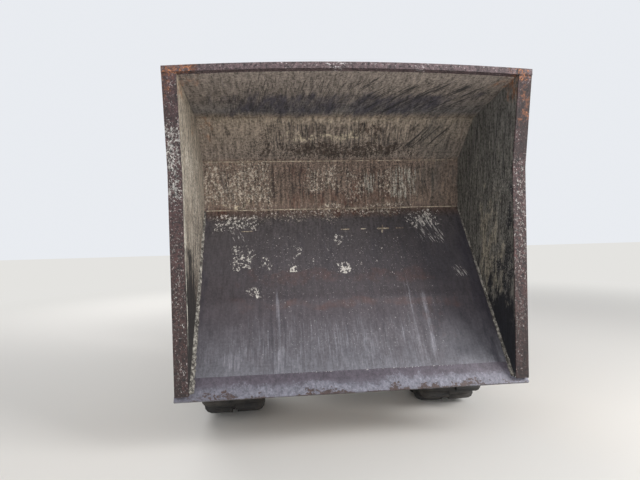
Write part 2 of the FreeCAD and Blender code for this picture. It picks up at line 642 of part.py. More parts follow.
def rear_frame():
    """Nose bearing, two rails, outriggers and the end plate."""
    end_front, end_half = REAR_END_Y - REAR_END_T, BONNET_HALF + REAR_END_MARGIN
    rail = box(REAR_RAIL_X[0], REAR_NOSE_Y, REAR_RAIL_Z[0], REAR_RAIL_X[1], end_front, REAR_RAIL_Z[1])
    tube = rod(BEARING_R, (0, BEARING_Y[0], TRUNNION_Z), (0, BEARING_Y[1], TRUNNION_Z))
    saddle = box(-REAR_RAIL_X[1], REAR_NOSE_Y, SADDLE_Z, REAR_RAIL_X[1], BEARING_Y[1], REAR_RAIL_Z[1])
    web = box(REAR_WEB[0], REAR_WEB[1], REAR_END_Z[0], REAR_RAIL_X[1], BEARING_Y[1], SADDLE_Z)
    end = box(-end_half, end_front, REAR_END_Z[0], end_half, REAR_END_Y, REAR_END_Z[1])
    arms = []
    for front, back in OUTRIGGERS:
        arms.append(box(REAR_RAIL_X[1], front, OUTRIGGER_Z, DECK_HALF, back, REAR_RAIL_Z[1]))
    ear = lug(BONNET_HALF + 5.0, BONNET_HALF + 17.0, BONNET_HINGE, 24.0,
              ((end_front, 820.0), (REAR_END_Y, 820.0)))
    ear = ear.cut(rod(HINGE_PIN_R + RUN_GAP, (BONNET_HALF, *BONNET_HINGE),
                      (BONNET_HALF + 20.0, *BONNET_HINGE)))
    halves = []
    for piece in [rail, web, ear] + arms:
        halves += both_sides(piece)
    whole = join([tube, saddle, end] + halves)
    return whole.cut(rod(TRUNNION_R + RUN_GAP, (0, BEARING_Y[0] - 5.0, TRUNNION_Z),
                         (0, BEARING_Y[1] + 5.0, TRUNNION_Z)))


def engine_block():
    """The engine and gearbox as one plain block on its four feet."""
    top = box(-ENGINE_X, ENGINE_Y[0], ENGINE_Z[0], ENGINE_X, ENGINE_Y[1], ENGINE_Z[1])
    reach, low = REAR_RAIL_X[1] - 10.0, REAR_RAIL_Z[1]
    feet = [box(-reach, y, low, reach, y + 90.0, low + 30.0) for y in (ENGINE_Y[0] + 20.0, ENGINE_Y[1] - 140.0)]
    return join([top] + feet)


def hood_outline(inset, low):
    """The bonnet's (x, z) section, moved in by an inset, down to a lower edge."""
    half, top = BONNET_HALF - inset, BONNET_Z[1] - inset
    right = [(half, low), (half, top - SHOULDER_DROP, 30.0), (half - SHOULDER_WIDTH, top, 60.0)]
    return right + [(-p[0],) + p[1:] for p in reversed(right)]


def rear_grille():
    """Radiator core behind upright slats in a frame, between the bonnet's sides."""
    y0, y1 = GRILLE_Y
    low = REAR_RAIL_Z[1]
    outer = BONNET_T + 14.0
    inner = outer + 32.0
    window = prism_y(hood_outline(inner, low + 34.0), y0, y1)
    frame = prism_y(hood_outline(outer, low), y0, y1).cut(window)
    core = prism_y(hood_outline(inner, low + 34.0), y0, y0 + 20.0)
    slats = []
    z = low + 64.0
    while z < BONNET_Z[1] - inner - 10.0:
        slat = prism_x([(y0 + 20.0, z), (y1 - 2.0, z - 18.0), (y1 - 2.0, z - 12.0), (y0 + 20.0, z + 6.0)],
                       -BONNET_HALF, BONNET_HALF)
        slats.append(slat.common(window))
        z += SLAT_PITCH
    return join([frame, core] + slats)


def engine_bonnet():
    """Folded hood with sloping shoulders and side louvres, open below and at the back."""
    shell = prism_y(hood_outline(0.0, BONNET_Z[0]), *BONNET_Y)
    hollow = prism_y(hood_outline(BONNET_T, BONNET_Z[0] - 1.0), BONNET_Y[0] + BONNET_T, BONNET_Y[1] + 1.0)
    shell = shell.cut(hollow)
    slots = []
    for i in range(LOUVRES):
        y0, y1 = LOUVRE_Y + i * LOUVRE_PITCH, LOUVRE_Y + i * LOUVRE_PITCH + LOUVRE_WIDTH
        corner = LOUVRE_WIDTH / 2 - 1.0
        outline = [(y0, LOUVRE_Z[0], corner), (y1, LOUVRE_Z[0], corner), (y1, LOUVRE_Z[1], corner),
                   (y0, LOUVRE_Z[1], corner)]
        slots.append(prism_x(outline, -BONNET_HALF - 1.0, BONNET_HALF + 1.0))
    hinge = rod(HINGE_PIN_R, (BONNET_HALF - BONNET_T, *BONNET_HINGE), (BONNET_HALF + 22.0, *BONNET_HINGE))
    return join([shell.cut(group(slots))] + both_sides(hinge))


def platform():
    """Driver's deck with a step frame on each side."""
    low, high = REAR_RAIL_Z[1], REAR_RAIL_Z[1] + DECK_T
    deck = box(-DECK_HALF, DECK_Y[0], low, DECK_HALF, DECK_Y[1], high)
    toe = box(-DECK_HALF, DECK_Y[0], high, DECK_HALF, DECK_Y[0] + 8.0, high + 60.0)
    foot = DECK_HALF + STEP_REACH
    hanger = [(DECK_HALF, high), (DECK_HALF, HIGH_TREAD_Z + 40.0), (DECK_HALF + 40.0, LOW_TREAD_Z - 20.0),
              (foot, LOW_TREAD_Z - 20.0), (foot, LOW_TREAD_Z + TREAD_T), (DECK_HALF + 60.0, high)]
    pieces = [prism_y(hanger, y, y + STEP_T) for y in STEP_Y]
    # Treads: inner edge and outer edge beside the deck, height
    for x0, x1, z in ((40.0, STEP_REACH - 5.0, LOW_TREAD_Z), (20.0, STEP_REACH - 85.0, HIGH_TREAD_Z)):
        pieces.append(box(DECK_HALF + x0, STEP_Y[0] + STEP_T / 2, z, DECK_HALF + x1, STEP_Y[1] + STEP_T / 2,
                          z + TREAD_T))
    halves = []
    for piece in pieces:
        halves += both_sides(piece)
    return join([deck, toe] + halves)


def mudguards():
    """Folded guard over each rear wheel, with an inner skirt down to the frame."""
    front, front_top, back_top, back = GUARD_Y
    low, bend, top = GUARD_Z
    over = [(front, bend), (front_top, top), (back_top, top), (back, bend)]
    line = [(front, low)] + over + [(back, low + 60.0)]
    guard = prism_x(strip(line, 0.0, GUARD_T), *GUARD_X)
    skirt = prism_x([(front, TANK_Z[1])] + over + [(back, low + 60.0), (back_top + 20.0, TANK_Z[1])],
                    GUARD_X[0], GUARD_X[0] + GUARD_T)
    edge = prism_x(strip(line, 0.0, GUARD_LIP), GUARD_X[1] - GUARD_T, GUARD_X[1])
    one = join([guard, skirt, edge])
    return group(both_sides(one))


def console():
    """Dashboard housing on the deck, with a visor over the dials and the steering column."""
    deck = REAR_RAIL_Z[1] + DECK_T
    front = CONSOLE_TOP[0] - 60.0
    rear, top = CONSOLE_TOP
    body = prism_x([(front, deck), (CONSOLE_BACK[0] - 20.0, deck), CONSOLE_BACK + (20.0,),
                    CONSOLE_TOP + (40.0,), (front, top - 60.0, 30.0)], -CONSOLE_HALF, CONSOLE_HALF)
    visor = prism_x([(front + 8.0, top - 70.0), (front + 18.0, top + 38.0, 12.0), (rear - 8.0, top + 38.0, 8.0),
                     (rear + 20.0, top - 40.0)], -CONSOLE_HALF + 80.0, CONSOLE_HALF - 80.0)
    return join([body, visor, rod(32.0, column_point(0.0), column_point(COLUMN_LENGTH))])


def column_point(distance):
    """Point on the steering column's line, counted from its foot."""
    lean = math.radians(COLUMN_LEAN)
    return (0.0, COLUMN_FOOT[0] + distance * math.sin(lean), COLUMN_FOOT[1] + distance * math.cos(lean))


def steering_wheel():
    base = column_point(COLUMN_LENGTH + RUN_GAP)
    axis = V(*column_point(1.0)) - V(*column_point(0.0))
    hub = Part.makeCylinder(34.0, 34.0, V(*base), axis)
    centre = V(*column_point(COLUMN_LENGTH + RUN_GAP + 22.0))
    ring = Part.makeTorus(STEERING_WHEEL_R, 14.0, centre, axis)
    pieces = [hub, ring]
    across, up = V(1, 0, 0), axis.cross(V(1, 0, 0))
    for angle in (90.0, 210.0, 330.0):
        a = math.radians(angle)
        end = centre + across * (math.cos(a) * STEERING_WHEEL_R) + up * (math.sin(a) * STEERING_WHEEL_R)
        pieces.append(Part.makeCylinder(9.0, STEERING_WHEEL_R, centre, end - centre))
    return join(pieces)


def controls():
    """Two hand levers on the console and two pedals on the deck."""
    deck = REAR_RAIL_Z[1] + DECK_T
    pieces = []
    slope = unit(CONSOLE_BACK, CONSOLE_TOP)
    root = between(CONSOLE_BACK, CONSOLE_TOP, 75.0)
    boot = (root[0] + slope[1] * 18.0, root[1] - slope[0] * 18.0)
    for x in (150.0, 200.0):
        knob = (x, boot[0] + 45.0, boot[1] + 140.0)
        pieces.append(join([rod(15.0, (x, *root), (x, *boot)), rod(6.0, (x, *boot), knob),
                            Part.makeSphere(20.0, V(*knob))]))
    for x in (-160.0, 110.0):
        arm = prism_x([(262.0, deck), (300.0, deck), (322.0, 950.0), (308.0, 955.0)], x, x + 30.0)
        pad = prism_x([(300.0, 915.0), (345.0, 985.0), (333.0, 991.0), (288.0, 921.0)], x - 25.0, x + 55.0)
        pieces.append(join([arm, pad]))
    return group(pieces)


def seat_base():
    """Tapered seat box on the deck."""
    deck, belt = REAR_RAIL_Z[1] + DECK_T, SEAT_Z - 80.0
    right = [(SEAT_HALF - 20.0, deck), (SEAT_HALF, belt), (SEAT_HALF, SEAT_Z)]
    return prism_y(right + [(-x, z) for x, z in reversed(right)], *SEAT_Y)


def seat_cushion():
    low, top = SEAT_Z + RUN_GAP, SEAT_Z + CUSHION_T
    front, back = SEAT_Y[0] - 20.0, SEAT_Y[1] - BACK_T + 5.0
    return prism_x([(front, low, 20.0), (back, low, 10.0), (back, top - 15.0, 20.0), (front, top, 50.0)],
                   -SEAT_HALF, SEAT_HALF)


def seat_back():
    low, front, back = SEAT_Z + RUN_GAP, SEAT_Y[1] - BACK_T + 6.0, SEAT_Y[1] + 6.0
    top = BACK_TOP
    return prism_x([(front, low, 10.0), (back, low, 10.0), (back + 4.0, top, 40.0), (front, top, 30.0)],
                   -BACK_HALF, BACK_HALF)


def rops_posts():
    """Fixed lower posts of the roll hoop, with hinge cheeks and a tie bar behind the seat."""
    half = ROPS_TUBE / 2
    inner, outer, front, back = ROPS_X - half, ROPS_X + half, ROPS_Y - half, ROPS_Y + half
    floor = REAR_RAIL_Z[1] + DECK_T
    neck, root_z = ROPS_HINGE_Z - 80.0, ROPS_HINGE_Z - 160.0
    post = box(inner, front, floor, outer, back, neck)
    foot = box(inner - 20.0, front - 5.0, floor, outer + 15.0, back + 5.0, floor + 20.0)
    root = ((front, root_z), (back, root_z))
    cheeks = [lug(x0, x0 + 12.0, (ROPS_Y, ROPS_HINGE_Z), 42.0, root) for x0 in (inner - 14.0, outer + 2.0)]
    link = box(inner - 2.0, front, root_z, outer + 2.0, back, neck)
    pin = rod(ROPS_PIN_R, (inner - 20.0, ROPS_Y, ROPS_HINGE_Z), (outer + 20.0, ROPS_Y, ROPS_HINGE_Z))
    bar = box(-ROPS_X, ROPS_Y - 25.0, neck - 60.0, ROPS_X, ROPS_Y + 25.0, neck - 10.0)
    halves = []
    for piece in [post, foot, link, pin] + cheeks:
        halves += both_sides(piece)
    return join([bar] + halves)


def rops_hoop():
    """Folding upper hoop of square tube with rounded corners."""
    half = ROPS_TUBE / 2
    inner, outer, front, back = ROPS_X - half, ROPS_X + half, ROPS_Y - half, ROPS_Y + half
    top = ROPS_TOP - half
    bend = top - ROPS_CORNER
    leg = box(inner, front, ROPS_HINGE_Z, outer, back, bend)
    end = rod(half, (inner, ROPS_Y, ROPS_HINGE_Z), (outer, ROPS_Y, ROPS_HINGE_Z))
    section = [V(inner, front, bend), V(outer, front, bend), V(outer, back, bend), V(inner, back, bend)]
    face = Part.Face(Part.makePolygon(section + section[:1]))
    corner = face.revolve(V(ROPS_X - ROPS_CORNER, ROPS_Y, bend), V(0, -1, 0), 90)
    run = ROPS_X - ROPS_CORNER
    bar = box(-run, front, top - half, run, back, top + half)
    whole = join([bar] + both_sides(leg) + both_sides(end) + both_sides(corner))
    bore = rod(ROPS_PIN_R + RUN_GAP, (inner - 1.0, ROPS_Y, ROPS_HINGE_Z), (outer + 1.0, ROPS_Y, ROPS_HINGE_Z))
    return whole.cut(group(both_sides(bore)))


def beacon():
    """Flashing lamp on the roll hoop: foot, tapered dome and cap."""
    foot = rod(48.0, (BEACON_X, ROPS_Y, ROPS_TOP), (BEACON_X, ROPS_Y, ROPS_TOP + 20.0))
    dome = Part.makeCone(44.0, 36.0, 90.0, V(BEACON_X, ROPS_Y, ROPS_TOP + 20.0))
    cap = rod(30.0, (BEACON_X, ROPS_Y, ROPS_TOP + 110.0), (BEACON_X, ROPS_Y, ROPS_TOP + 122.0))
    return join([foot, dome, cap])


def side_tank(side):
    """Tank hung under the deck beside the frame, with its filler."""
    inner, outer = REAR_RAIL_X[1] + 30.0, DECK_HALF - 10.0
    low, high = TANK_Z
    section = [(inner, low, 60.0), (outer, low, 60.0), (outer, high, 20.0), (inner, high, 20.0)]
    tank = prism_y(section, *TANK_Y)
    y, z = TANK_Y[0] + 185.0, low + 80.0
    filler = rod(28.0, (outer - 30.0, y, z), (outer + 22.0, y, z + 30.0))
    whole = join([tank, filler])
    return whole if side > 0 else mirrored(whole)


def exhaust():
    """Upright silencer on its pipe, with an open stack cut at a slant."""
    x, y = EXHAUST_ROOM / 2 - DECK_HALF, REAR_END_Y - 245.0
    stack = join([rod(STACK_R, (x, y, REAR_RAIL_Z[1]), (x, y, STACK_TOP)),
                  rod(SILENCER_R, (x, y, SILENCER_Z[0]), (x, y, SILENCER_Z[1]))])
    bore = rod(STACK_R - 3.0, (x, y, SILENCER_Z[1]), (x, y, STACK_TOP + 1.0))
    slant = prism_x([(y - STACK_R - 1.0, STACK_TOP + 1.0), (y + STACK_R + 1.0, STACK_TOP - 2 * STACK_R),
                     (y + STACK_R + 1.0, STACK_TOP + 1.0)], x - STACK_R - 1.0, x + STACK_R + 1.0)
    return stack.cut(group([bore])).cut(slant)


def rear_bumper():
    """Cast tail weight with the towing jaw and tie-down eyes."""
    body = prism_z([(-DECK_HALF, REAR_END_Y), (DECK_HALF, REAR_END_Y), (DECK_HALF, BUMPER_Y, 90.0),
                    (-DECK_HALF, BUMPER_Y, 90.0)], *BUMPER_Z)
    jaw = [(-JAW_HALF, BUMPER_Y - 20.0), (JAW_HALF, BUMPER_Y - 20.0), (JAW_HALF, BACK_END_Y, 50.0),
           (-JAW_HALF, BACK_END_Y, 50.0)]
    plates = [prism_z(jaw, z0, z0 + JAW_T) for z0 in (JAW_Z - 15.0, JAW_Z + 75.0)]
    pin_y = BACK_END_Y - JAW_LENGTH / 2
    bore = rod(JAW_BORE_R, (0, pin_y, JAW_Z - 25.0), (0, pin_y, JAW_Z + 115.0))
    whole = join([body] + plates).cut(bore)
    recess = box(-130.0, BUMPER_Y - 40.0, JAW_Z - 55.0, 130.0, BUMPER_Y + 1.0, JAW_Z - 15.0)
    y, far = BUMPER_Y + TIE_REACH, TIE_X + TIE_PLATE_T
    eye = box(TIE_X, BUMPER_Y - 10.0, TIE_Z - 70.0, far, BUMPER_Y + 2 * TIE_REACH, TIE_Z + 70.0)
    eye = eye.cut(rod(TIE_BORE_R, (TIE_X - 10.0, y, TIE_Z), (far + 10.0, y, TIE_Z)))
    return join([whole.cut(recess)] + both_sides(eye))


def handrails():
    """Grab rail on each guard beside the seat."""
    x, foot, bend = GUARD_X[0] + 60.0, GUARD_Z[2], GRAB_TOP - RAIL_HOOP_R
    front, back = SEAT_Y[1] - GRAB_SPAN[0], SEAT_Y[1] + GRAB_SPAN[1]
    pieces = [rod(GRAB_R, (x, front, foot), (x, front, bend)), rod(GRAB_R, (x, back, foot), (x, back, bend)),
              rod(GRAB_R, (x, front + RAIL_HOOP_R, GRAB_TOP), (x, back - RAIL_HOOP_R, GRAB_TOP))]
    for y, turn in ((front + RAIL_HOOP_R, -1.0), (back - RAIL_HOOP_R, 1.0)):
        ring = Part.makeTorus(RAIL_HOOP_R, GRAB_R, V(x, y, bend), V(1, 0, 0))
        pieces.append(ring.common(box(x - 20.0, y, bend, x + 20.0, y + turn * 80.0, GRAB_TOP + 20.0)))
    one = join(pieces)
    return group(both_sides(one))


def lamps():
    """Headlamps on the guards' fronts and tail lamps on their backs."""
    y, back = GUARD_Y[0], GUARD_Y[3]
    place = (HEADLAMP_X, HEADLAMP_Z)
    head = join([rod(HEADLAMP_R, (place[0], y, place[1]), (place[0], y - 55.0, place[1])),
                 rod(HEADLAMP_R + 8.0, (place[0], y - 55.0, place[1]), (place[0], y - 80.0, place[1]))])
    low = GUARD_Z[0] + 85.0
    tail = box(HEADLAMP_X - 50.0, back, low, HEADLAMP_X + 150.0, back + 40.0, low + 80.0)
    return group(both_sides(head) + both_sides(tail))


def tyre_ring(x, y, apothem):
    """Corners of a regular ring about the wheel's axis, with a flat at the bottom."""
    radius = apothem / math.cos(math.pi / TYRE_FLATS)
    turns = [2 * math.pi * (i + 0.5) / TYRE_FLATS for i in range(TYRE_FLATS)]
    return [V(x, y + radius * math.sin(a), AXLE_Z - radius * math.cos(a)) for a in turns]


def tyre_lug(x, y, side, number):
    """One slanting bar from the tread's middle over the shoulder, on the flat of that number."""
    half, inner = TYRE_WIDTH / 2, TYRE_LUG_INNER
    # Outline from the tread's middle outwards: distance from the middle, depth under the tips
    outline = [(inner, TYRE_LUG_DEPTH + 25.0), (inner, 0.0), (half - TYRE_SHOULDER, 0.0), (half, 42.0),
               (half, 90.0), (half - 30.0, 118.0)]
    points = []
    for out, depth in outline:
        slant = TYRE_LUG_SWEEP * ((out - inner) / (half - inner) - 0.5)
        points.append(V(x + side * out, y + slant - TYRE_LUG_WIDTH / 2, AXLE_Z - TYRE_RADIUS + depth))
    bar = Part.Face(Part.makePolygon(points + points[:1])).extrude(V(0, TYRE_LUG_WIDTH, 0))
    bar.rotate(V(x, y, AXLE_Z), V(1, 0, 0), number * 360.0 / TYRE_FLATS)
    return bar


def tyre(x, y):
    """Carcass of flats with its lugs. The lug at the bottom is on the outer half."""
    half = TYRE_WIDTH / 2
    wall = half - 9.0
    # Half section: distance from the middle, radius
    section = [(half - BEAD_INSET, RIM_RADIUS + RUN_GAP), (wall, RIM_RADIUS + 100.0),
               (wall, TYRE_RADIUS - 105.0), (half - TYRE_SHOULDER, TYRE_RADIUS - TYRE_LUG_DEPTH)]
    rings = [tyre_ring(x + out, y, radius) for out, radius in section]
    rings += [tyre_ring(x - out, y, radius) for out, radius in reversed(section)]
    faces = []
    for near, far in zip(rings, rings[1:] + rings[:1]):
        for i in range(TYRE_FLATS):
            j = (i + 1) % TYRE_FLATS
            faces.append(Part.Face(Part.makePolygon([near[i], near[j], far[j], far[i], near[i]])))
    shell = Part.makeShell(faces)
    shell.sewShape()
    carcass = Part.makeSolid(shell)
    outer = 1 if x > 0 else -1
    lugs = [tyre_lug(x, y, outer if i % 2 == 0 else -outer, i) for i in range(TYRE_FLATS)]
    return join([carcass] + lugs).Solids[0]


def wheel_rim(x, y):
    """Rim with rolled edges, dished disc with hand holes, and hub."""
    side = 1 if x > 0 else -1
    edge = TYRE_WIDTH / 2 - 24.0
    lip, well = RIM_RADIUS + RIM_FLANGE, RIM_RADIUS - 10.0
    wall = edge - 5.0
    outer = [(-edge, lip), (-wall, lip), (-wall, RIM_RADIUS), (wall, RIM_RADIUS), (wall, lip), (edge, lip),
             (edge, well), (-edge, well)]
    barrel = turned([(x + side * p[0], p[1]) for p in outer], y, AXLE_Z)
    root, rim = HUB_RADIUS - 20.0, RIM_RADIUS - 5.0
    disc = [(DISC_X[0] - 26.0, root), (DISC_X[1] - 26.0, root), (DISC_X[1], DISC_BEND_R), (DISC_X[1], rim),
            (DISC_X[0], rim), (DISC_X[0], DISC_BEND_R)]
    plate = turned([(x + side * p[0], p[1]) for p in disc], y, AXLE_Z)
    holes = []
    reach = (DISC_BEND_R + RIM_RADIUS) / 2
    for i in range(HAND_HOLES):
        a = 2 * math.pi * (i + 0.5) / HAND_HOLES
        place = (y + reach * math.sin(a), AXLE_Z + reach * math.cos(a))
        near, far = x + side * (DISC_X[0] - 1.0), x + side * (DISC_X[1] + 1.0)
        holes.append(rod(HAND_HOLE_R, (near, *place), (far, *place)))
    plate = plate.cut(group(holes))
    hub = rod(HUB_RADIUS, (x - side * HUB_INSET, y, AXLE_Z), (x + side * 40.0, y, AXLE_Z))
    cap = rod(HUB_CAP_RADIUS, (x + side * 40.0, y, AXLE_Z), (x + side * HUB_CAP_REACH, y, AXLE_Z))
    whole = join([barrel, plate, hub, cap])
    near, far = x - side * (HUB_INSET + 1.0), x + side * (SPINDLE_LENGTH + 1.0 - HUB_INSET)
    return whole.cut(rod(SPINDLE_R + RUN_GAP, (near, y, AXLE_Z), (far, y, AXLE_Z)))


def build():
    """Every piece by its node's name."""
    left_barrel, left_rod = tip_ram(1)
    right_barrel, right_rod = tip_ram(-1)
    steer_barrel, steer_rod = steering_ram()
    side = skip_side()
    nodes = {
        "front_frame": front_frame(),
        "front_axle": axle(FRONT_AXLE_Y),
        "skip_wrapper": skip_wrapper(),
        "skip_side_left": side,
        "skip_side_right": mirrored(side),
        "skip_rim": skip_rim(),
        "skip_lip": skip_lip(),
        "skip_underframe": skip_underframe(),
        "tip_ram_barrel_left": left_barrel,
        "tip_ram_rod_left": left_rod,
        "tip_ram_barrel_right": right_barrel,
        "tip_ram_rod_right": right_rod,
        "centre_pivot": centre_pivot(),
        "steering_ram_barrel": steer_barrel,
        "steering_ram_rod": steer_rod,
        "rear_frame": rear_frame(),
        "rear_axle": axle(REAR_AXLE_Y),
        "engine_block": engine_block(),
        "rear_grille": rear_grille(),
        "engine_bonnet": engine_bonnet(),
        "platform": platform(),
        "mudguards": mudguards(),
        "console": console(),
        "controls": controls(),
        "steering_wheel": steering_wheel(),
        "seat_base": seat_base(),
        "seat_cushion": seat_cushion(),
        "seat_back": seat_back(),
        "rops_posts": rops_posts(),
        "rops_hoop": rops_hoop(),
        "beacon": beacon(),
        "fuel_tank": side_tank(1),
        "hydraulic_tank": side_tank(-1),
        "exhaust": exhaust(),
        "rear_bumper": rear_bumper(),
        "handrails": handrails(),
        "lamps": lamps(),
    }
    # Wheels: name, side of the machine, axle line
    for name, way, y in (("front_left", 1, FRONT_AXLE_Y), ("front_right", -1, FRONT_AXLE_Y),
                         ("rear_left", 1, REAR_AXLE_Y), ("rear_right", -1, REAR_AXLE_Y)):
        nodes["tyre_" + name] = tyre(way * TRACK / 2, y)
        nodes["rim_" + name] = wheel_rim(way * TRACK / 2, y)
    return nodes


def main():
    os.makedirs("parts", exist_ok=True)
    for name, shape in build().items():
        shape.translate(V(0, SHIFT_Y, 0))
        shape.exportStep("parts/" + name + ".step")


main()
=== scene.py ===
# %% [markdown]
# An articulated site dumper stands on a pale studio floor with its skip tipped right forward.
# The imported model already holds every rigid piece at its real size, so this lesson gives the pieces
# their finishes and adds what is small, soft or sewn. Loading the model first gives the places to work from.

# %% Load the model
import math
import random

import bmesh
import bpy
import numpy
from mathutils import Matrix, Vector, noise


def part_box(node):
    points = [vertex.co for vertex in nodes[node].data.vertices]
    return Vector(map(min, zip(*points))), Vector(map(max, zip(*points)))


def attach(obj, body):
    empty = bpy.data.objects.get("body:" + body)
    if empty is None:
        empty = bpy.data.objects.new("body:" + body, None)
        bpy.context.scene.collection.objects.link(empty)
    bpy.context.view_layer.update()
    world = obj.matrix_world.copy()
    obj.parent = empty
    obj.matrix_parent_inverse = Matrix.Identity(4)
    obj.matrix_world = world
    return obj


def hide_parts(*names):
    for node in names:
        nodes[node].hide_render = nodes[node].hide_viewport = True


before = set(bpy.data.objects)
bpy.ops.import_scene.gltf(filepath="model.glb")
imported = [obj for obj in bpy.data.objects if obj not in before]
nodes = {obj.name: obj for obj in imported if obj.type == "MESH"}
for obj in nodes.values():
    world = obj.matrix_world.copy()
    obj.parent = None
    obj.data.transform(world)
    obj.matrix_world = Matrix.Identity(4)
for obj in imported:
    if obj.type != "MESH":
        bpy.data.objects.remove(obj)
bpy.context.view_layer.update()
MM = 0.001

# %% [markdown]
# The camera looks straight into the tipped skip from about eye height, a little to the machine's right
# of its middle. It is a short lens close by, so the skip's sides open towards the viewer. A camera is
# placed by its position and three turns. Building its matrix from them keeps the horizon's slight roll.

# %% Camera
CAMERA_PLACE = Vector((-0.546, -5.3935, 1.493))
CAMERA_YAW, CAMERA_PITCH, CAMERA_ROLL = (math.radians(a) for a in (-5.68, -1.07, -1.41))
CAMERA_LENS = 27.06


def camera_axes(yaw, pitch, roll):
    """Right, up and forward of a camera that looks along +Y before it is turned."""
    level = Vector((math.cos(yaw), math.sin(yaw), 0))
    ahead = Vector((-math.sin(yaw), math.cos(yaw), 0))
    forward = ahead * math.cos(pitch) + Vector((0, 0, 1)) * math.sin(pitch)
    above = -ahead * math.sin(pitch) + Vector((0, 0, 1)) * math.cos(pitch)
    right = level * math.cos(roll) + above * math.sin(roll)
    up = -level * math.sin(roll) + above * math.cos(roll)
    return right, up, forward


right, up, forward = camera_axes(CAMERA_YAW, CAMERA_PITCH, CAMERA_ROLL)
camera_data = bpy.data.cameras.new("camera")
camera_data.lens = CAMERA_LENS
camera = bpy.data.objects.new("camera", camera_data)
bpy.context.scene.collection.objects.link(camera)
camera.matrix_world = Matrix.Translation(CAMERA_PLACE) @ Matrix((right, up, -forward)).transposed().to_4x4()
bpy.context.scene.camera = camera
print("the camera stands", round(CAMERA_PLACE.z, 2), "m above the ground")

# %% [markdown]
# Every finish below is a set of shader nodes. Two helpers are enough for all of them: one turns a colour
# written as a hex value into the linear numbers that the renderer works in, and one adds a node together
# with its settings and its links, so that a pattern reads as a list.

# %% Colour and node helpers


def linear(hex_text):
    """Linear RGBA of an sRGB colour such as #d9a21b."""
    parts = [int(hex_text[i:i + 2], 16) / 255 for i in (1, 3, 5)]
    return tuple(p / 12.92 if p <= 0.04045 else ((p + 0.055) / 1.055) ** 2.4 for p in parts) + (1.0,)


def add_node(tree, kind, sockets=None, stops=None, **settings):
    """Adds a shader node. Sockets take a value or another node's output, stops fill a colour ramp."""
    node = tree.nodes.new("ShaderNode" + kind)
    for name, value in settings.items():
        setattr(node, name, value)
    for socket, value in (sockets or {}).items():
        if isinstance(value, bpy.types.NodeSocket):
            tree.links.new(value, node.inputs[socket])
        else:
            node.inputs[socket].default_value = value
    if stops:
        elements = node.color_ramp.elements
        while len(elements) < len(stops):
            elements.new(1.0)
        for element, (place, colour) in zip(elements, stops):
            element.position = place
            element.color = colour if len(colour) == 4 else tuple(colour) + (1.0,)
    return node


def grey(value):
    return (value, value, value, 1.0)


def new_finish(name, roughness=0.5, metallic=0.0):
    """A material with its tree, its surface shader and the object's own coordinates in metres."""
    finish = bpy.data.materials.new(name)
    finish.use_nodes = True
    tree = finish.node_tree
    shader = tree.nodes["Principled BSDF"]
    shader.inputs["Roughness"].default_value = roughness
    shader.inputs["Metallic"].default_value = metallic
    place = add_node(tree, "TexCoord").outputs["Object"]
    return finish, tree, shader, place


def dress(finish, *names):
    """Gives a finish to model nodes, by name, or to pieces made here."""
    for name in names:
        piece = nodes[name] if isinstance(name, str) else name
        if not piece.material_slots:
            piece.data.materials.append(finish)
        for material_slot in piece.material_slots:
            material_slot.link = "OBJECT"
            material_slot.material = finish


print("helpers ready")

# %% [markdown]
# The floor is a plain pale sheet that only catches the shadow. The light is a big soft lamp in front and
# to the viewer's right, as the real skip is brighter on its left wall than on its right one. A low lamp
# stands for light thrown back by pale ground, and weaker ones stand on the left and behind. The world is white to the camera and to gloss, and dimmer as a light.

# %% Floor, world and lamps
FLOOR_SIZE = 60.0
bpy.ops.object.select_all(action="DESELECT")
bpy.ops.mesh.primitive_plane_add(size=FLOOR_SIZE)
floor = bpy.context.object
floor.name = "studio_floor"
floor_finish, tree, shader, place = new_finish("matt_studio_floor", roughness=0.9)
shader.inputs["Base Color"].default_value = linear("#dedbd6")
far = add_node(tree, "VectorMath", {0: place}, operation="LENGTH").outputs["Value"]
fade = add_node(tree, "MapRange", {"Value": far, "From Min": 4.5, "From Max": 10.0}, interpolation_type="SMOOTHSTEP")
haze = add_node(tree, "Emission", {"Color": linear("#e4e3e0"), "Strength": 1.0}).outputs[0]
mixed = add_node(tree, "MixShader", {0: fade.outputs[0], 1: shader.outputs[0], 2: haze}).outputs[0]
tree.links.new(mixed, tree.nodes["Material Output"].inputs["Surface"])
dress(floor_finish, floor)

world = bpy.data.worlds.new("studio")
world.use_nodes = True
bpy.context.scene.world = world
tree = world.node_tree
tree.nodes.clear()
SKY_TINT = linear("#eef1f6")
rays = add_node(tree, "LightPath").outputs
seen = add_node(tree, "Math", {0: rays["Is Camera Ray"], 1: rays["Is Glossy Ray"]}, operation="MAXIMUM")
seen = add_node(tree, "Math", {0: seen.outputs[0], 1: rays["Is Transmission Ray"]}, operation="MAXIMUM")
strength = add_node(tree, "MapRange", {"Value": seen.outputs[0], "To Min": 0.42, "To Max": 0.95})
background = add_node(tree, "Background", {"Color": SKY_TINT, "Strength": strength.outputs[0]})
add_node(tree, "OutputWorld", {"Surface": background.outputs[0]})

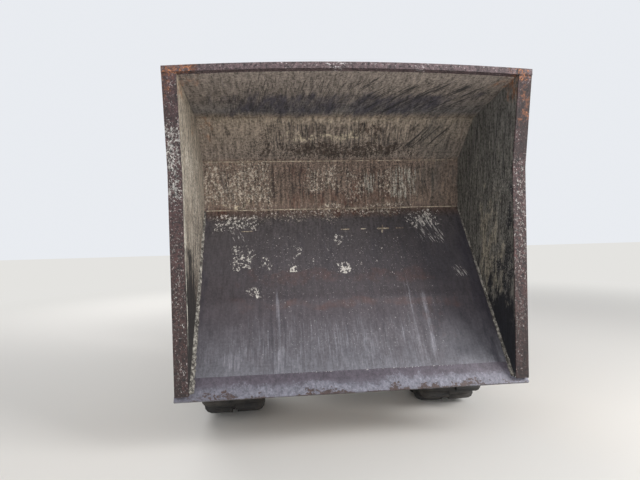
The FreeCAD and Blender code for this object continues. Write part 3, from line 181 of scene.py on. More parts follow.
# Lamps: name, place, the point it looks at, size in metres, watts
LAMPS = (
    ("key_lamp", (6.2, -6.2, 4.6), (0.0, -1.5, 1.2), 3.6, 640.0),
    ("low_lamp", (0.8, -6.4, 0.7), (0.0, -1.4, 2.2), 3.0, 130.0),
    ("fill_lamp", (-6.0, -6.0, 3.8), (0.0, -1.0, 1.2), 4.0, 120.0),
    ("back_lamp", (-3.5, 7.0, 6.0), (0.0, 1.0, 1.0), 6.0, 460.0),
)
for name, spot, target, size, watts in LAMPS:
    lamp_data = bpy.data.lights.new(name, "AREA")
    lamp_data.size = size
    lamp_data.energy = watts
    lamp = bpy.data.objects.new(name, lamp_data)
    bpy.context.scene.collection.objects.link(lamp)
    aim = (Vector(target) - Vector(spot)).to_track_quat("-Z", "Y")
    lamp.matrix_world = Matrix.Translation(Vector(spot)) @ aim.to_matrix().to_4x4()
bpy.context.scene.view_settings.view_transform = "Standard"
print("floor, world and", len(LAMPS), "lamps")

# %% [markdown]
# The skip is folded from hot-rolled plate and welded up. Its floor and back were painted once. Stone has
# slid over them ever since, so the pouring end is polished to bare blue-grey steel, the floor above it has
# turned dark and rusty, and the back still carries cream remains of paint in a mottle of brown and black.
# The blue-grey and the bright streaks of that bare steel are partly a painted reflection of the sky.
# The plate is drawn from its bends: a grid is laid along the folded line, so that its length is also what
# the marks of wear are placed by.

# %% Skip plate: its folded line and its dents
SKIP_HALF = 1.11
PLATE_T = 0.010
LIP_WIDTH = 0.155
RIM_BOW = 0.036
# Bends from the pouring edge to the top rim: metres behind the pouring edge, metres above the ground
SKIP_BENDS = ((0.0, 0.408), (0.989, 1.684), (0.970, 2.097), (0.618, 2.383), (-0.060, 2.492))
LIP_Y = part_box("skip_lip")[0].y
BEAM_X = 0.544
CROSS_MEMBERS = (0.475, 0.865, 1.53)


def bend_runs():
    """Length along the plate at each bend."""
    runs = [0.0]
    for a, b in zip(SKIP_BENDS, SKIP_BENDS[1:]):
        runs.append(runs[-1] + math.dist(a, b))
    return runs


RUNS = bend_runs()
FLOOR_END, BACK_WELD, BACK_FOLD, RIM_RUN = RUNS[1:]


def plate_point(run):
    """Place in the skip's section at a length along the plate, and the way its load side faces."""
    for i in range(len(RUNS) - 1):
        if run <= RUNS[i + 1] or i == len(RUNS) - 2:
            share = (run - RUNS[i]) / (RUNS[i + 1] - RUNS[i])
            a, b = Vector(SKIP_BENDS[i]), Vector(SKIP_BENDS[i + 1])
            along = (b - a).normalized()
            return a.lerp(b, share), Vector((-along.y, along.x))


def smooth(value, low, high):
    """0 below low, 1 above high, with an even rise between."""
    t = min(1.0, max(0.0, (value - low) / (high - low)))
    return t * t * (3 - 2 * t)


def plate_dent(x, run):
    """How far the plate has been pushed away from the load, in metres."""
    edge = smooth(SKIP_HALF - abs(x), 0.0, 0.22) * smooth(run, LIP_WIDTH, 0.32) * smooth(RIM_RUN - run, 0.0, 0.2)
    fold = min(smooth(abs(run - r), 0.0, 0.10) for r in (FLOOR_END, BACK_WELD, BACK_FOLD))
    sag = 0.0
    if run < FLOOR_END:
        off_beam = smooth(abs(abs(x) - BEAM_X), 0.045, 0.20)
        off_cross = min(smooth(abs(run - place), 0.03, 0.16) for place in CROSS_MEMBERS)
        sag = 0.0065 * off_beam * (0.4 + 0.6 * off_cross)
    crease = 0.004 * (1 - smooth(abs(run - 0.725), 0.0, 0.07))
    knocks = noise.noise(Vector((x * 4.1, run * 3.3, 5.0))) * 0.0045
    knocks += noise.noise(Vector((x * 11.0, run * 9.0, 9.0))) * 0.0018
    return edge * (sag * fold - crease + knocks * (0.35 + 0.65 * fold))


def skip_plate_mesh():
    """Grid over the folded line, dented, then given its thickness on the side away from the load."""
    across, along = 190, 230
    bpy.ops.object.select_all(action="DESELECT")
    bpy.ops.mesh.primitive_grid_add(x_subdivisions=across, y_subdivisions=along, size=2.0)
    plate = bpy.context.object
    plate.name = "skip_worn_plate"
    runs = plate.data.attributes.new("run", "FLOAT", "POINT")
    for i, vertex in enumerate(plate.data.vertices):
        x = vertex.co.x * SKIP_HALF
        run = LIP_WIDTH + (vertex.co.y + 1) / 2 * (RIM_RUN - LIP_WIDTH)
        place, facing = plate_point(run)
        bow = RIM_BOW * (1 - (x / SKIP_HALF) ** 2) * max(0.0, (run - BACK_FOLD) / (RIM_RUN - BACK_FOLD))
        place = place - facing * plate_dent(x, run)
        vertex.co = (x, LIP_Y + place.x, place.y + bow)
        runs.data[i].value = run
    plate.data.update()
    print("plate faces the load:", plate.data.polygons[across * 20].normal.y < 0)
    return plate


skip_plate = skip_plate_mesh()

# %% [markdown]
# All worn surfaces are painted in the same way, in layers, as the wear came: a first tone that changes along
# the plate, then stains, remains of paint, chips and scratches. Some layers are painted shade, painted highlight
# or painted sheen instead, and are marked so where they are listed. A layer is a noise that is cut off at a
# level, so that it covers less or more, and the places where it is thick are listed as soft rectangles.

# %% Worn layers
NARROW = 0.025


def region_mask(tree, warped, flat, regions):
    """Greatest of some soft rectangles. Each has its middle, its half sizes and its strength."""
    total = None
    for middle_a, middle_b, half_a, half_b, amount in regions:
        # A narrow one, such as the run beside the rim, stays straight
        place = flat if min(half_a, half_b) < NARROW else warped
        off = add_node(tree, "VectorMath", {0: place, 1: (middle_a, middle_b, 0)}, operation="SUBTRACT")
        size = add_node(tree, "VectorMath", {0: off.outputs[0], 1: (half_a, half_b, 1)}, operation="DIVIDE")
        far = add_node(tree, "VectorMath", {0: size.outputs[0]}, operation="ABSOLUTE")
        parts = add_node(tree, "SeparateXYZ", {0: far.outputs[0]}).outputs
        most = add_node(tree, "Math", {0: parts["X"], 1: parts["Y"]}, operation="MAXIMUM").outputs[0]
        soft = add_node(tree, "MapRange", {"Value": most, "From Min": 1.3, "From Max": 0.55, "To Max": amount})
        soft = soft.outputs[0]
        if total is None:
            total = soft
        else:
            total = add_node(tree, "Math", {0: total, 1: soft}, operation="MAXIMUM").outputs[0]
    return total


def worn_layers(tree, flat, grain, colour, layers, stored=False):
    """Lays each layer over the colour. Returns the colour and a relief in millimetres."""
    wander = add_node(tree, "TexNoise", {"Vector": grain, "Scale": 6.0, "Detail": 4.0, "Roughness": 0.7})
    shift = add_node(tree, "VectorMath", {0: wander.outputs["Color"], 1: (0.5, 0.5, 0.5)}, operation="SUBTRACT")
    warped = add_node(tree, "VectorMath", {0: shift.outputs[0], 1: (0.26, 0.26, 0), 2: flat},
                      operation="MULTIPLY_ADD").outputs[0]
    relief = None
    for number, row in enumerate(layers):
        name, tone, across_mm, along_mm, turn, cover, soft, opacity, rise, regions = row
        turned = add_node(tree, "Mapping", {"Vector": grain, "Location": (number * 3.7, number * 1.3, number),
                                            "Rotation": (0, 0, math.radians(turn))}).outputs[0]
        # The noise's largest waves are about twice as long as its grains
        waves = [1 / (2.2 * size * MM) for size in (across_mm, along_mm, across_mm)]
        scaled = add_node(tree, "VectorMath", {0: turned, 1: waves}, operation="MULTIPLY").outputs[0]
        detail = 5.0 if across_mm > 12 else 3.0
        spots = add_node(tree, "TexNoise", {"Vector": scaled, "Scale": 1.0, "Detail": detail, "Roughness": 0.75})
        value = spots.outputs["Fac"]
        level = 0.66 - 0.30 * cover
        if regions:
            if stored:
                where = add_node(tree, "Attribute", attribute_name="cover_%d" % number).outputs["Fac"]
            else:
                where = region_mask(tree, warped, flat, regions)
            value = add_node(tree, "Math", {0: where, 1: 0.3, 2: value}, operation="MULTIPLY_ADD").outputs[0]
            level += 0.3
        mask = add_node(tree, "MapRange", {"Value": value, "From Min": level, "From Max": level + soft,
                                           "To Max": opacity}).outputs[0]
        colour = add_node(tree, "MixRGB", {"Fac": mask, "Color1": colour, "Color2": linear(tone)},
                          label=name).outputs["Color"]
        if rise:
            lift = {0: mask, 1: rise}
            if relief is None:
                relief = add_node(tree, "Math", lift, operation="MULTIPLY").outputs[0]
            else:
                relief = add_node(tree, "Math", {**lift, 2: relief}, operation="MULTIPLY_ADD").outputs[0]
    return colour, relief


def speckled(tree, grain, colour, strength=1.0):
    """Fine dark pits and pale grains of 5 to 20 mm over the whole surface. Returns colour and noise.

    The strength is a number, or a node's output where the surface is smoother in one place."""
    fine = add_node(tree, "TexNoise", {"Vector": grain, "Scale": 48.0, "Detail": 3.0, "Roughness": 0.85})
    stretched = add_node(tree, "VectorMath", {0: grain, 1: (38.0, 7.0, 38.0)}, operation="MULTIPLY").outputs[0]
    drawn = add_node(tree, "TexNoise", {"Vector": stretched, "Scale": 1.0, "Detail": 4.0, "Roughness": 0.75})
    both = add_node(tree, "Math", {0: fine.outputs["Fac"], 1: drawn.outputs["Fac"]}, operation="ADD").outputs[0]
    swing = add_node(tree, "MapRange", {"Value": both, "From Min": 0.80, "From Max": 1.20, "To Min": -0.62,
                                        "To Max": 0.62}).outputs[0]
    factor = add_node(tree, "Math", {0: swing, 1: strength, 2: 1.0}, operation="MULTIPLY_ADD").outputs[0]
    toned = add_node(tree, "VectorMath", {0: colour, "Scale": factor}, operation="SCALE").outputs[0]
    return toned, both


# Tone along the plate: metres from the pouring edge, colour of the steel there. The blue-grey near the
# pouring edge is partly a painted reflection of the sky.
PLATE_TONES = (
    (0.16, "#66656b"),
    (0.62, "#504a4e"),
    (0.76, "#433d40"),
    (1.05, "#423d40"),
    (1.50, "#433e3f"),
    (1.59, "#51413a"),
    (1.66, "#66574c"),
    (2.03, "#6c5c51"),
    (2.07, "#7b7067"),
    (2.40, "#84786b"),
    (2.50, "#817567"),
    (2.60, "#6b6764"),
    (2.82, "#776e66"),
    (3.17, "#7f756d"),
)
# Layer, tone, grain across and along in mm, turn, cover, softness, opacity, relief in mm, regions.
# A region is its middle (x, length along the plate), its half sizes and its strength.
PLATE_LAYERS = (
    # Partly real polish and partly painted sheen: the pale blue-grey streaks stand for sky reflected in the bare steel
    ("steel rubbed bright with painted sheen by sliding stone", "#8d8d94", 5, 110, 0, 0.5, 0.18, 0.55, 0.0,
     ((-0.1, 0.35, 1.0, 0.28, 1.0),)),
    ("dark drag marks", "#37343a", 9, 220, 0, 0.42, 0.16, 0.5, 0.0, ((0, 0.9, 1.3, 0.75, 1.0),)),
    # Painted highlight on the raised plate over the floor beams, and painted shade in the bands beside them
    ("pale ridges over the beams with painted highlight", "#8b8990", 8, 200, 0, 0.95, 0.2, 0.75, 0.0,
     ((-0.515, 0.46, 0.015, 0.34, 1.1), (-0.68, 0.3, 0.08, 0.10, 0.8), (0.49, 0.5, 0.018, 0.36, 1.0),
      (0.60, 0.5, 0.022, 0.34, 1.1), (-0.9, 0.26, 0.16, 0.06, 0.7))),
    ("painted shade beside the beams", "#3b383e", 14, 260, 0, 0.95, 0.15, 0.65, 0.0,
     ((-0.57, 0.5, 0.019, 0.44, 1.0), (-0.475, 0.5, 0.016, 0.42, 1.0), (0.545, 0.5, 0.019, 0.42, 1.0))),
    ("grime clouds on the floor", "#453f43", 60, 150, 0, 0.9, 0.25, 0.6, 0.0, ((0.0, 0.45, 1.1, 0.4, 1.0),)),
    # Painted shade: the floor's right part is darkened as if the right wall shades it from the light
    ("painted shade at the right of the floor", "#2e2d33", 80, 200, 0, 1.35, 0.35, 0.6, 0.0,
     ((0.92, 0.95, 0.34, 0.62, 1.0), (0.88, 0.42, 0.32, 0.26, 1.0), (0.3, 1.15, 0.5, 0.3, 0.35))),
    ("blue oxide along the edges", "#2e2b33", 50, 260, 0, 0.9, 0.2, 0.75, 0.0,
     ((1.08, 0.8, 0.12, 0.9, 1.0), (-1.12, 0.7, 0.09, 1.0, 1.0))),
    ("red rust on the floor", "#573f3a", 50, 60, 0, 0.95, 0.3, 0.6, 0.0,
     ((0.1, 0.68, 1.0, 0.05, 1.0), (0.1, 0.92, 0.9, 0.07, 0.85), (0.65, 0.5, 0.12, 0.2, 0.8))),
    ("brown rust of the back", "#4b3026", 22, 100, 0, 0.74, 0.18, 0.9, 0.0,
     ((-0.3, 1.82, 0.10, 0.24, 1.0), (0.3, 1.84, 0.20, 0.22, 0.9), (0.15, 1.72, 0.62, 0.09, 1.0),
      (0.2, 1.57, 0.6, 0.05, 1.0), (-0.97, 1.57, 0.06, 0.07, 1.0), (0.3, 2.4, 0.12, 0.08, 0.8))),
    ("brown runs down the back", "#392a24", 10, 240, 0, 0.50, 0.08, 0.85, 0.0, ((0, 1.84, 1.1, 0.22, 1.0),)),
    ("grey and cream mottle", "#aaa193", 7, 9, 0, 0.58, 0.09, 0.8, 0.0,
     ((-0.84, 1.84, 0.40, 0.26, 1.0), (-0.1, 1.88, 0.22, 0.14, 0.95), (0.20, 1.82, 0.14, 0.18, 0.85),
      (0.45, 1.84, 0.12, 0.16, 0.9), (-0.4, 1.56, 0.65, 0.10, 0.78), (0.2, 1.60, 0.60, 0.08, 0.90),
      (0.05, 2.14, 0.55, 0.09, 0.76))),
    ("grey streaks at the right of the back", "#9a958a", 6, 90, 0, 0.58, 0.07, 0.9, 0.0,
     ((0.62, 1.84, 0.16, 0.17, 1.0), (0.32, 1.82, 0.05, 0.13, 0.9))),
    ("brown-black streaks above the weld", "#3a302c", 24, 150, 0, 0.56, 0.12, 0.8, 0.0,
     ((0.1, 2.26, 0.85, 0.24, 1.0),)),
    ("cream blotches above the weld", "#b5a992", 18, 24, 0, 0.66, 0.10, 0.85, 0.0,
     ((-0.05, 2.30, 0.42, 0.045, 1.0), (0.2, 2.44, 0.5, 0.03, 0.6), (-0.85, 1.66, 0.2, 0.03, 0.8))),
    ("dark patch over the weld", "#33261f", 10, 16, 0, 0.84, 0.1, 0.85, 0.0,
     ((0.08, 2.15, 0.66, 0.10, 1.0), (0.26, 2.36, 0.14, 0.09, 0.8), (-0.58, 2.2, 0.04, 0.16, 0.9))),
    ("green-grey film at the right", "#53524a", 24, 160, 0, 0.8, 0.3, 0.7, 0.0,
     ((0.86, 2.1, 0.24, 0.42, 1.0), (0.95, 1.75, 0.2, 0.3, 0.8))),
    ("shade at the right of the back", "#3b3a39", 60, 200, 0, 1.2, 0.35, 0.6, 0.0,
     ((0.95, 2.3, 0.3, 0.3, 1.0), (1.0, 2.85, 0.2, 0.4, 0.7), (0.98, 1.82, 0.26, 0.25, 0.8))),
    ("dark wisps", "#262426", 6, 110, -6, 0.44, 0.07, 0.8, 0.0,
     ((0, 2.32, 1.05, 0.17, 1.0), (-0.9, 1.86, 0.1, 0.2, 1.0), (0.75, 1.86, 0.2, 0.2, 0.9))),
    ("blue-black smudges over the fold", "#31303c", 26, 120, 14, 0.95, 0.24, 0.85, 0.0,
     ((-0.42, 2.70, 0.56, 0.21, 1.2), (0.40, 2.70, 0.46, 0.21, 1.2), (0.92, 2.84, 0.1, 0.12, 0.8))),
    ("scratches across the top panel", "#211f21", 8, 170, 34, 0.47, 0.05, 0.88, 0.0,
     ((0.55, 2.82, 0.62, 0.32, 1.0), (0.75, 2.3, 0.3, 0.2, 0.9))),
    ("scratches down the top panel", "#332e2e", 6, 90, 8, 0.44, 0.06, 0.7, 0.0, ((-0.4, 2.85, 0.75, 0.34, 1.0),)),
    ("black pits in the back", "#1b1717", 5, 6, 0, 0.42, 0.05, 0.85, -0.3,
     ((0, 2.0, 1.2, 0.42, 1.0), (0, 2.8, 1.2, 0.4, 0.6))),
    ("orange rust in the corners", "#85583a", 20, 40, 0, 0.7, 0.2, 0.7, 0.0,
     ((-1.05, 3.1, 0.10, 0.12, 1.0), (1.05, 3.1, 0.12, 0.12, 1.0), (-1.04, 2.36, 0.08, 0.2, 0.85))),
    ("thick white chips", "#c2bdb5", 9, 12, 0, 0.46, 0.05, 0.95, 0.35,
     ((-0.84, 1.47, 0.26, 0.12, 0.92), (-0.77, 1.12, 0.10, 0.16, 0.98), (-0.40, 1.00, 0.07, 0.06, 1.05),
      (-0.32, 1.18, 0.04, 0.07, 0.95), (0.0, 1.28, 0.07, 0.07, 1.05), (0.01, 1.02, 0.05, 0.05, 1.0),
      (-0.60, 1.08, 0.05, 0.09, 0.9), (-0.70, 0.78, 0.06, 0.05, 0.95), (0.77, 1.48, 0.18, 0.11, 0.95),
      (0.0, 1.60, 0.95, 0.05, 0.74), (0.0, 1.15, 0.9, 0.35, 0.55))),
    ("white scratches", "#aaa6a2", 5, 50, -22, 0.40, 0.05, 0.85, 0.0,
     ((0.80, 1.36, 0.14, 0.16, 1.0), (0.95, 0.95, 0.08, 0.06, 1.0), (-0.8, 1.36, 0.12, 0.1, 0.8))),
    ("stray chips on the floor", "#a8a4a3", 6, 8, 0, 0.06, 0.04, 0.85, 0.0, ((0, 0.8, 1.2, 0.85, 1.0),)),
)


def tone_along(tree, value, tones):
    """First tone of a surface, read along a length."""
    low, high = tones[0][0], tones[-1][0]
    share = add_node(tree, "MapRange", {"Value": value, "From Min": low, "From Max": high}).outputs[0]
    stops = [((place - low) / (high - low), linear(tone)) for place, tone in tones]
    return add_node(tree, "ValToRGB", {"Fac": share}, stops=stops).outputs["Color"]


def worn_plate_finish():
    """Hot-rolled structural steel, polished bare low down and stained above. Bare steel is metallic."""
    finish, tree, shader, place = new_finish("hot_rolled_plate_worn_by_loads")
    across = add_node(tree, "SeparateXYZ", {"Vector": place}).outputs["X"]
    run = add_node(tree, "Attribute", attribute_name="run").outputs["Fac"]
    flat = add_node(tree, "CombineXYZ", {"X": across, "Y": run}).outputs[0]
    first = tone_along(tree, run, PLATE_TONES)
    colour, relief = worn_layers(tree, flat, flat, first, PLATE_LAYERS, stored=True)
    rubbed = add_node(tree, "MapRange", {"Value": run, "From Min": 1.3, "From Max": 1.6, "To Min": 0.42, "To Max": 1.15})
    colour, grains = speckled(tree, flat, colour, rubbed.outputs[0])
    tree.links.new(colour, shader.inputs["Base Color"])
    rough = add_node(tree, "MapRange", {"Value": run, "From Min": 0.6, "From Max": 1.2, "To Min": 0.52,
                                        "To Max": 0.80})
    tree.links.new(rough.outputs[0], shader.inputs["Roughness"])
    metal = add_node(tree, "MapRange", {"Value": run, "From Min": 0.45, "From Max": 1.0, "To Min": 0.25,
                                        "To Max": 0.0})
    tree.links.new(metal.outputs[0], shader.inputs["Metallic"])
    pits = add_node(tree, "Math", {0: grains, 1: 0.8, 2: relief}, operation="MULTIPLY_ADD")
    bump = add_node(tree, "Bump", {"Height": pits.outputs[0], "Strength": 0.8, "Distance": 1.6 * MM})
    tree.links.new(bump.outputs[0], shader.inputs["Normal"])
    return finish


print(len(PLATE_LAYERS), "layers of wear on the skip's plate")

# %% [markdown]
# Machine enamel covers the outside of the skip and most of the machine. It is worn in its own way: dust low
# down, chips down to rust, and soft fading. It is needed here already for the back of the same plate.

# %% Enamel and the finished plate
RUST_BROWN = linear("#5f4236")
ENAMEL_YELLOW = "#cf981f"


def facing_load(tree, place, middle=(0.0, -3.6, 1.6)):
    """1 on faces that look at a point before the skip's mouth and 0 on its outside."""
    normal = add_node(tree, "TexCoord").outputs["Normal"]
    inward = add_node(tree, "VectorMath", {0: middle, 1: place}, operation="SUBTRACT").outputs[0]
    side = add_node(tree, "VectorMath", {0: inward, 1: normal}, operation="DOT_PRODUCT").outputs["Value"]
    return add_node(tree, "Math", {0: side, 1: 0.0}, operation="GREATER_THAN").outputs[0]


def worn_enamel(tree, place, paint_hex, wear=0.5):
    """Colour, roughness and chips of machine enamel with dust, fine scratches and worn spots."""
    cloud = add_node(tree, "TexNoise", {"Vector": place, "Scale": 1.6, "Detail": 5.0, "Roughness": 0.6})
    faded = tuple(c * 0.74 for c in linear(paint_hex)[:3]) + (1.0,)
    paint = add_node(tree, "MixRGB", {"Fac": cloud.outputs["Fac"], "Color1": linear(paint_hex), "Color2": faded})
    # Chips are about 4 mm across
    chip = add_node(tree, "TexNoise", {"Vector": place, "Scale": 46.0, "Detail": 7.0, "Roughness": 0.72})
    chipped = add_node(tree, "ValToRGB", {"Fac": chip.outputs["Fac"]},
                       stops=[(0.72 - 0.10 * wear, grey(0)), (0.735 - 0.10 * wear, grey(1))])
    bare = add_node(tree, "MixRGB", {"Fac": chipped.outputs["Color"], "Color1": paint.outputs["Color"],
                                     "Color2": RUST_BROWN})
    level = add_node(tree, "SeparateXYZ", {"Vector": place}).outputs["Z"]
    low = add_node(tree, "MapRange", {"Value": level, "From Min": 0.2, "From Max": 1.3, "To Min": 0.6,
                                      "To Max": 0.1})
    cake = add_node(tree, "TexNoise", {"Vector": place, "Scale": 5.0, "Detail": 6.0, "Roughness": 0.65})
    dust = add_node(tree, "Math", {0: low.outputs[0], 1: cake.outputs["Fac"]}, operation="MULTIPLY")
    dusty = add_node(tree, "MixRGB", {"Fac": dust.outputs[0], "Color1": bare.outputs["Color"],
                                      "Color2": linear("#9b9186")})
    roughness = add_node(tree, "MapRange", {"Value": dust.outputs[0], "From Max": 0.4, "To Min": 0.40,
                                            "To Max": 0.75})
    return dusty.outputs["Color"], roughness.outputs[0], chipped.outputs["Color"]


def enamel_finish(name, colour_hex, wear):
    """Sprayed machine enamel, semi-gloss, with dust and stone chips."""
    finish, tree, shader, place = new_finish(name)
    colour, roughness, chips = worn_enamel(tree, place, colour_hex, wear)
    tree.links.new(colour, shader.inputs["Base Color"])
    tree.links.new(roughness, shader.inputs["Roughness"])
    peel = add_node(tree, "TexNoise", {"Vector": place, "Scale": 260.0, "Detail": 2.0})
    fine = add_node(tree, "Bump", {"Height": peel.outputs["Fac"], "Strength": 0.06, "Distance": 0.4 * MM})
    edge = add_node(tree, "Bump", {"Height": chips, "Strength": 0.4, "Distance": 0.5 * MM,
                                   "Normal": fine.outputs[0]}, invert=True)
    tree.links.new(edge.outputs[0], shader.inputs["Normal"])
    return finish


yellow_enamel = enamel_finish("yellow_machine_enamel", ENAMEL_YELLOW, 0.45)


def thicken(piece, thickness, outer_slot=0):
    """Gives a sheet its thickness behind its faces and applies it."""
    solidify = piece.modifiers.new("thickness", "SOLIDIFY")
    solidify.thickness = thickness
    solidify.offset = -1.0
    solidify.material_offset = outer_slot
    bpy.ops.object.select_all(action="DESELECT")
    piece.select_set(True)
    bpy.context.view_layer.objects.active = piece
    bpy.ops.object.modifier_apply(modifier="thickness")


def store_cover(plate, layers):
    """Keeps on each vertex how thick each layer may lie there, with the rectangles' edges made ragged."""
    spots = [(v.co.x, plate.data.attributes["run"].data[v.index].value) for v in plate.data.vertices]
    x, run = numpy.array(spots).T
    wander = numpy.array([noise.noise_vector(Vector((a * 6, b * 6, 2.0))) for a, b in spots]).T * 0.07
    for number, row in enumerate(layers):
        cover = numpy.zeros(len(spots))
        for middle_x, middle_run, half_x, half_run, amount in row[-1]:
            # A narrow one, such as a streak over a beam, stays straight
            sway = wander * (min(half_x, half_run) > NARROW)
            off = numpy.maximum(abs(x + sway[0] - middle_x) / half_x, abs(run + sway[1] - middle_run) / half_run)
            cover = numpy.maximum(cover, amount * numpy.clip((1.3 - off) / 0.75, 0, 1))
        stored = plate.data.attributes.new("cover_%d" % number, "FLOAT", "POINT")
        stored.data.foreach_set("value", cover)


store_cover(skip_plate, PLATE_LAYERS)
skip_plate.data.materials.append(worn_plate_finish())
skip_plate.data.materials.append(yellow_enamel)
thicken(skip_plate, PLATE_T, 1)
for polygon in skip_plate.data.polygons:
    polygon.use_smooth = True
bpy.ops.object.shade_smooth_by_angle(angle=math.radians(24))
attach(skip_plate, "skip")
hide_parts("skip_wrapper")
print("skip plate has", len(skip_plate.data.polygons), "faces")

# %% [markdown]
# The sides, the rim and the pouring edge are solid pieces of the model. They get the same kind of layers.
# The side plates are placed by depth and height instead, and the rim by width and height.

# %% Sides, rim and pouring edge
DARK_SIDE_TONES = ((0.40, "#474544"), (1.10, "#5b5853"), (1.90, "#5f5d58"), (2.60, "#605e5b"))
DARK_SIDE_LAYERS = (
    ("long pale runs", "#7a776e", 8, 200, -10, 0.5, 0.12, 0.75, 0.0, ((-1.9, 1.5, 0.7, 0.9, 1.0),)),
    ("green-grey film", "#4c4f46", 50, 260, 0, 0.6, 0.3, 0.6, 0.0, ((-1.6, 2.0, 0.5, 0.5, 1.0),)),
    ("beige coat left low down", "#857e70", 30, 80, -14, 0.80, 0.05, 0.9, 0.0,
     ((-1.85, 1.35, 0.20, 0.45, 0.9), (-2.08, 1.22, 0.06, 0.24, 0.9))),
    ("dark wisps", "#232328", 6, 150, -12, 0.44, 0.08, 0.8, 0.0, ((-1.8, 1.9, 0.6, 0.7, 1.0),)),
    ("blue-black beside the rim", "#14161e", 18, 60, 0, 0.75, 0.14, 0.92, 0.0,
     ((-2.18, 1.35, 0.05, 0.85, 1.0), (-2.1, 1.75, 0.07, 0.3, 0.8))),
    ("coat peeled to black", "#101118", 34, 90, -14, 0.66, 0.05, 0.97, -0.3,
     ((-2.08, 0.72, 0.3, 0.32, 1.5), (-2.0, 1.12, 0.22, 0.16, 1.0), (-2.15, 1.4, 0.08, 0.3, 0.9),
      (-1.62, 1.3, 0.06, 0.3, 0.7))),
    ("pale grains", "#8f8c86", 4, 7, -14, 0.34, 0.05, 0.8, 0.0, ((-2.05, 1.5, 0.25, 0.7, 1.0),)),
    ("black flecks", "#17171a", 5, 12, -14, 0.40, 0.05, 0.85, -0.2, ((-1.7, 1.6, 0.8, 0.8, 0.9),)),
    ("orange rust at the top", "#80502f", 20, 40, 0, 0.75, 0.2, 0.75, 0.0, ((-2.25, 2.42, 0.1, 0.1, 1.0),)),
)
PALE_SIDE_TONES = ((0.40, "#2b2624"), (0.98, "#37312d"), (1.14, "#5d554c"), (1.32, "#877e72"), (2.60, "#8a8072"))
PALE_SIDE_LAYERS = (
    ("white runs", "#b3aca0", 5, 260, 4, 0.52, 0.08, 0.85, 0.0, ((-1.9, 1.6, 0.7, 0.75, 1.0),)),
    ("brown runs", "#57483c", 6, 240, 4, 0.46, 0.08, 0.85, 0.0, ((-1.9, 1.3, 0.7, 0.6, 1.0),)),
    ("coat peeled to black", "#1d1917", 16, 150, 4, 0.80, 0.06, 0.97, -0.3,
     ((-2.1, 0.85, 0.3, 0.46, 1.4), (-2.0, 1.25, 0.2, 0.2, 0.85))),
    ("white run beside the rim", "#b8b3a8", 6, 60, 0, 0.60, 0.06, 0.9, 0.0, ((-2.19, 1.45, 0.02, 0.85, 1.2),)),
    ("black pits", "#2b2624", 5, 9, 0, 0.40, 0.05, 0.85, -0.3, ((-1.6, 1.4, 0.4, 0.5, 1.0),)),
    ("orange rust at the top", "#96663f", 20, 40, 0, 0.7, 0.25, 0.75, 0.0,
     ((-2.2, 2.42, 0.15, 0.08, 1.0), (-1.72, 2.28, 0.15, 0.14, 0.8))),
)
RIM_TONES = ((0.40, "#2e201f"), (1.00, "#392725"), (2.20, "#3d2a2b"), (2.49, "#3f2c2c"), (2.50, "#524345"),
             (2.57, "#5a4b4d"))
RIM_LAYERS = (
    ("maroon rust", "#4a251f", 14, 24, 0, 0.75, 0.2, 0.75, -0.2, ((0, 1.4, 1.3, 1.1, 1.0),)),
    ("pale grey lichen grains", "#a3a19c", 6, 8, 0, 0.62, 0.08, 0.85, 0.25,
     ((-1.16, 1.95, 0.08, 0.34, 1.0), (1.16, 1.60, 0.08, 0.60, 0.72), (-1.16, 1.15, 0.08, 0.5, 0.60),
      (-1.16, 0.6, 0.08, 0.1, 0.6), (1.16, 0.9, 0.08, 0.2, 0.62))),
    ("white flecks", "#a39f9c", 5, 6, 0, 0.17, 0.05, 0.85, 0.3, ()),
    # Dark rust high on the left flange; lower down the same layer is painted shade that darkens the flange the key lamp
    # lights more
    ("dark rust and painted shade on the left flange", "#211513", 20, 60, 0, 1.4, 0.3, 0.8, 0.0,
     ((1.18, 2.18, 0.06, 0.26, 1.0), (1.18, 0.66, 0.06, 0.30, 0.8))),
    ("white scuffs on the top bar", "#b9b4b4", 9, 4, 0, 0.45, 0.06, 0.9, 0.0,
     ((-0.12, 2.555, 0.12, 0.03, 1.0), (0.45, 2.55, 0.06, 0.03, 1.0), (0.1, 2.56, 0.9, 0.02, 0.7))),
    ("black pits", "#171112", 8, 9, 0, 0.46, 0.07, 0.85, -0.5, ()),
    ("brown rust under the orange", "#5f3c2a", 12, 14, 0, 0.72, 0.14, 0.85, 0.0,
     ((-1.1, 2.51, 0.16, 0.06, 1.0), (1.12, 2.50, 0.10, 0.06, 1.0), (1.18, 2.3, 0.03, 0.18, 0.9),
      (-1.19, 2.38, 0.03, 0.12, 0.8))),
    ("orange rust grains", "#a56a42", 5, 6, 0, 0.40, 0.06, 0.85, 0.1,
     ((-1.12, 2.51, 0.14, 0.05, 1.0), (1.14, 2.50, 0.08, 0.05, 1.05), (1.18, 2.33, 0.03, 0.14, 0.85),
      (-1.19, 2.4, 0.03, 0.08, 0.8))),
)
# The wear plate's blue-grey tones and its bright streaks are partly real polish and partly a painted reflection of the
# sky in the bare steel
LIP_TONES = ((0.40, "#66656e"), (0.455, "#63616a"), (0.490, "#504a52"), (0.55, "#4c464e"))
LIP_LAYERS = (
    ("steel rubbed bright with painted sheen", "#8f919b", 5, 120, 0, 0.82, 0.35, 0.6, 0.0, ((0.0, 0.440, 1.2, 0.034, 1.0),)),
    ("dark band behind the edge", "#443d45", 60, 30, 0, 1.1, 0.3, 0.7, 0.0, ((0.0, 0.506, 1.2, 0.034, 1.0),)),
    ("white chips", "#bdbbb9", 5, 6, 0, 0.26, 0.05, 0.9, 0.2, ((0.1, 0.534, 1.0, 0.012, 1.0),)),
    ("brown at the poured edge", "#3d2c25", 10, 7, 0, 0.8, 0.1, 0.9, -0.3, ((0.0, 0.392, 1.3, 0.026, 1.15),)),
)


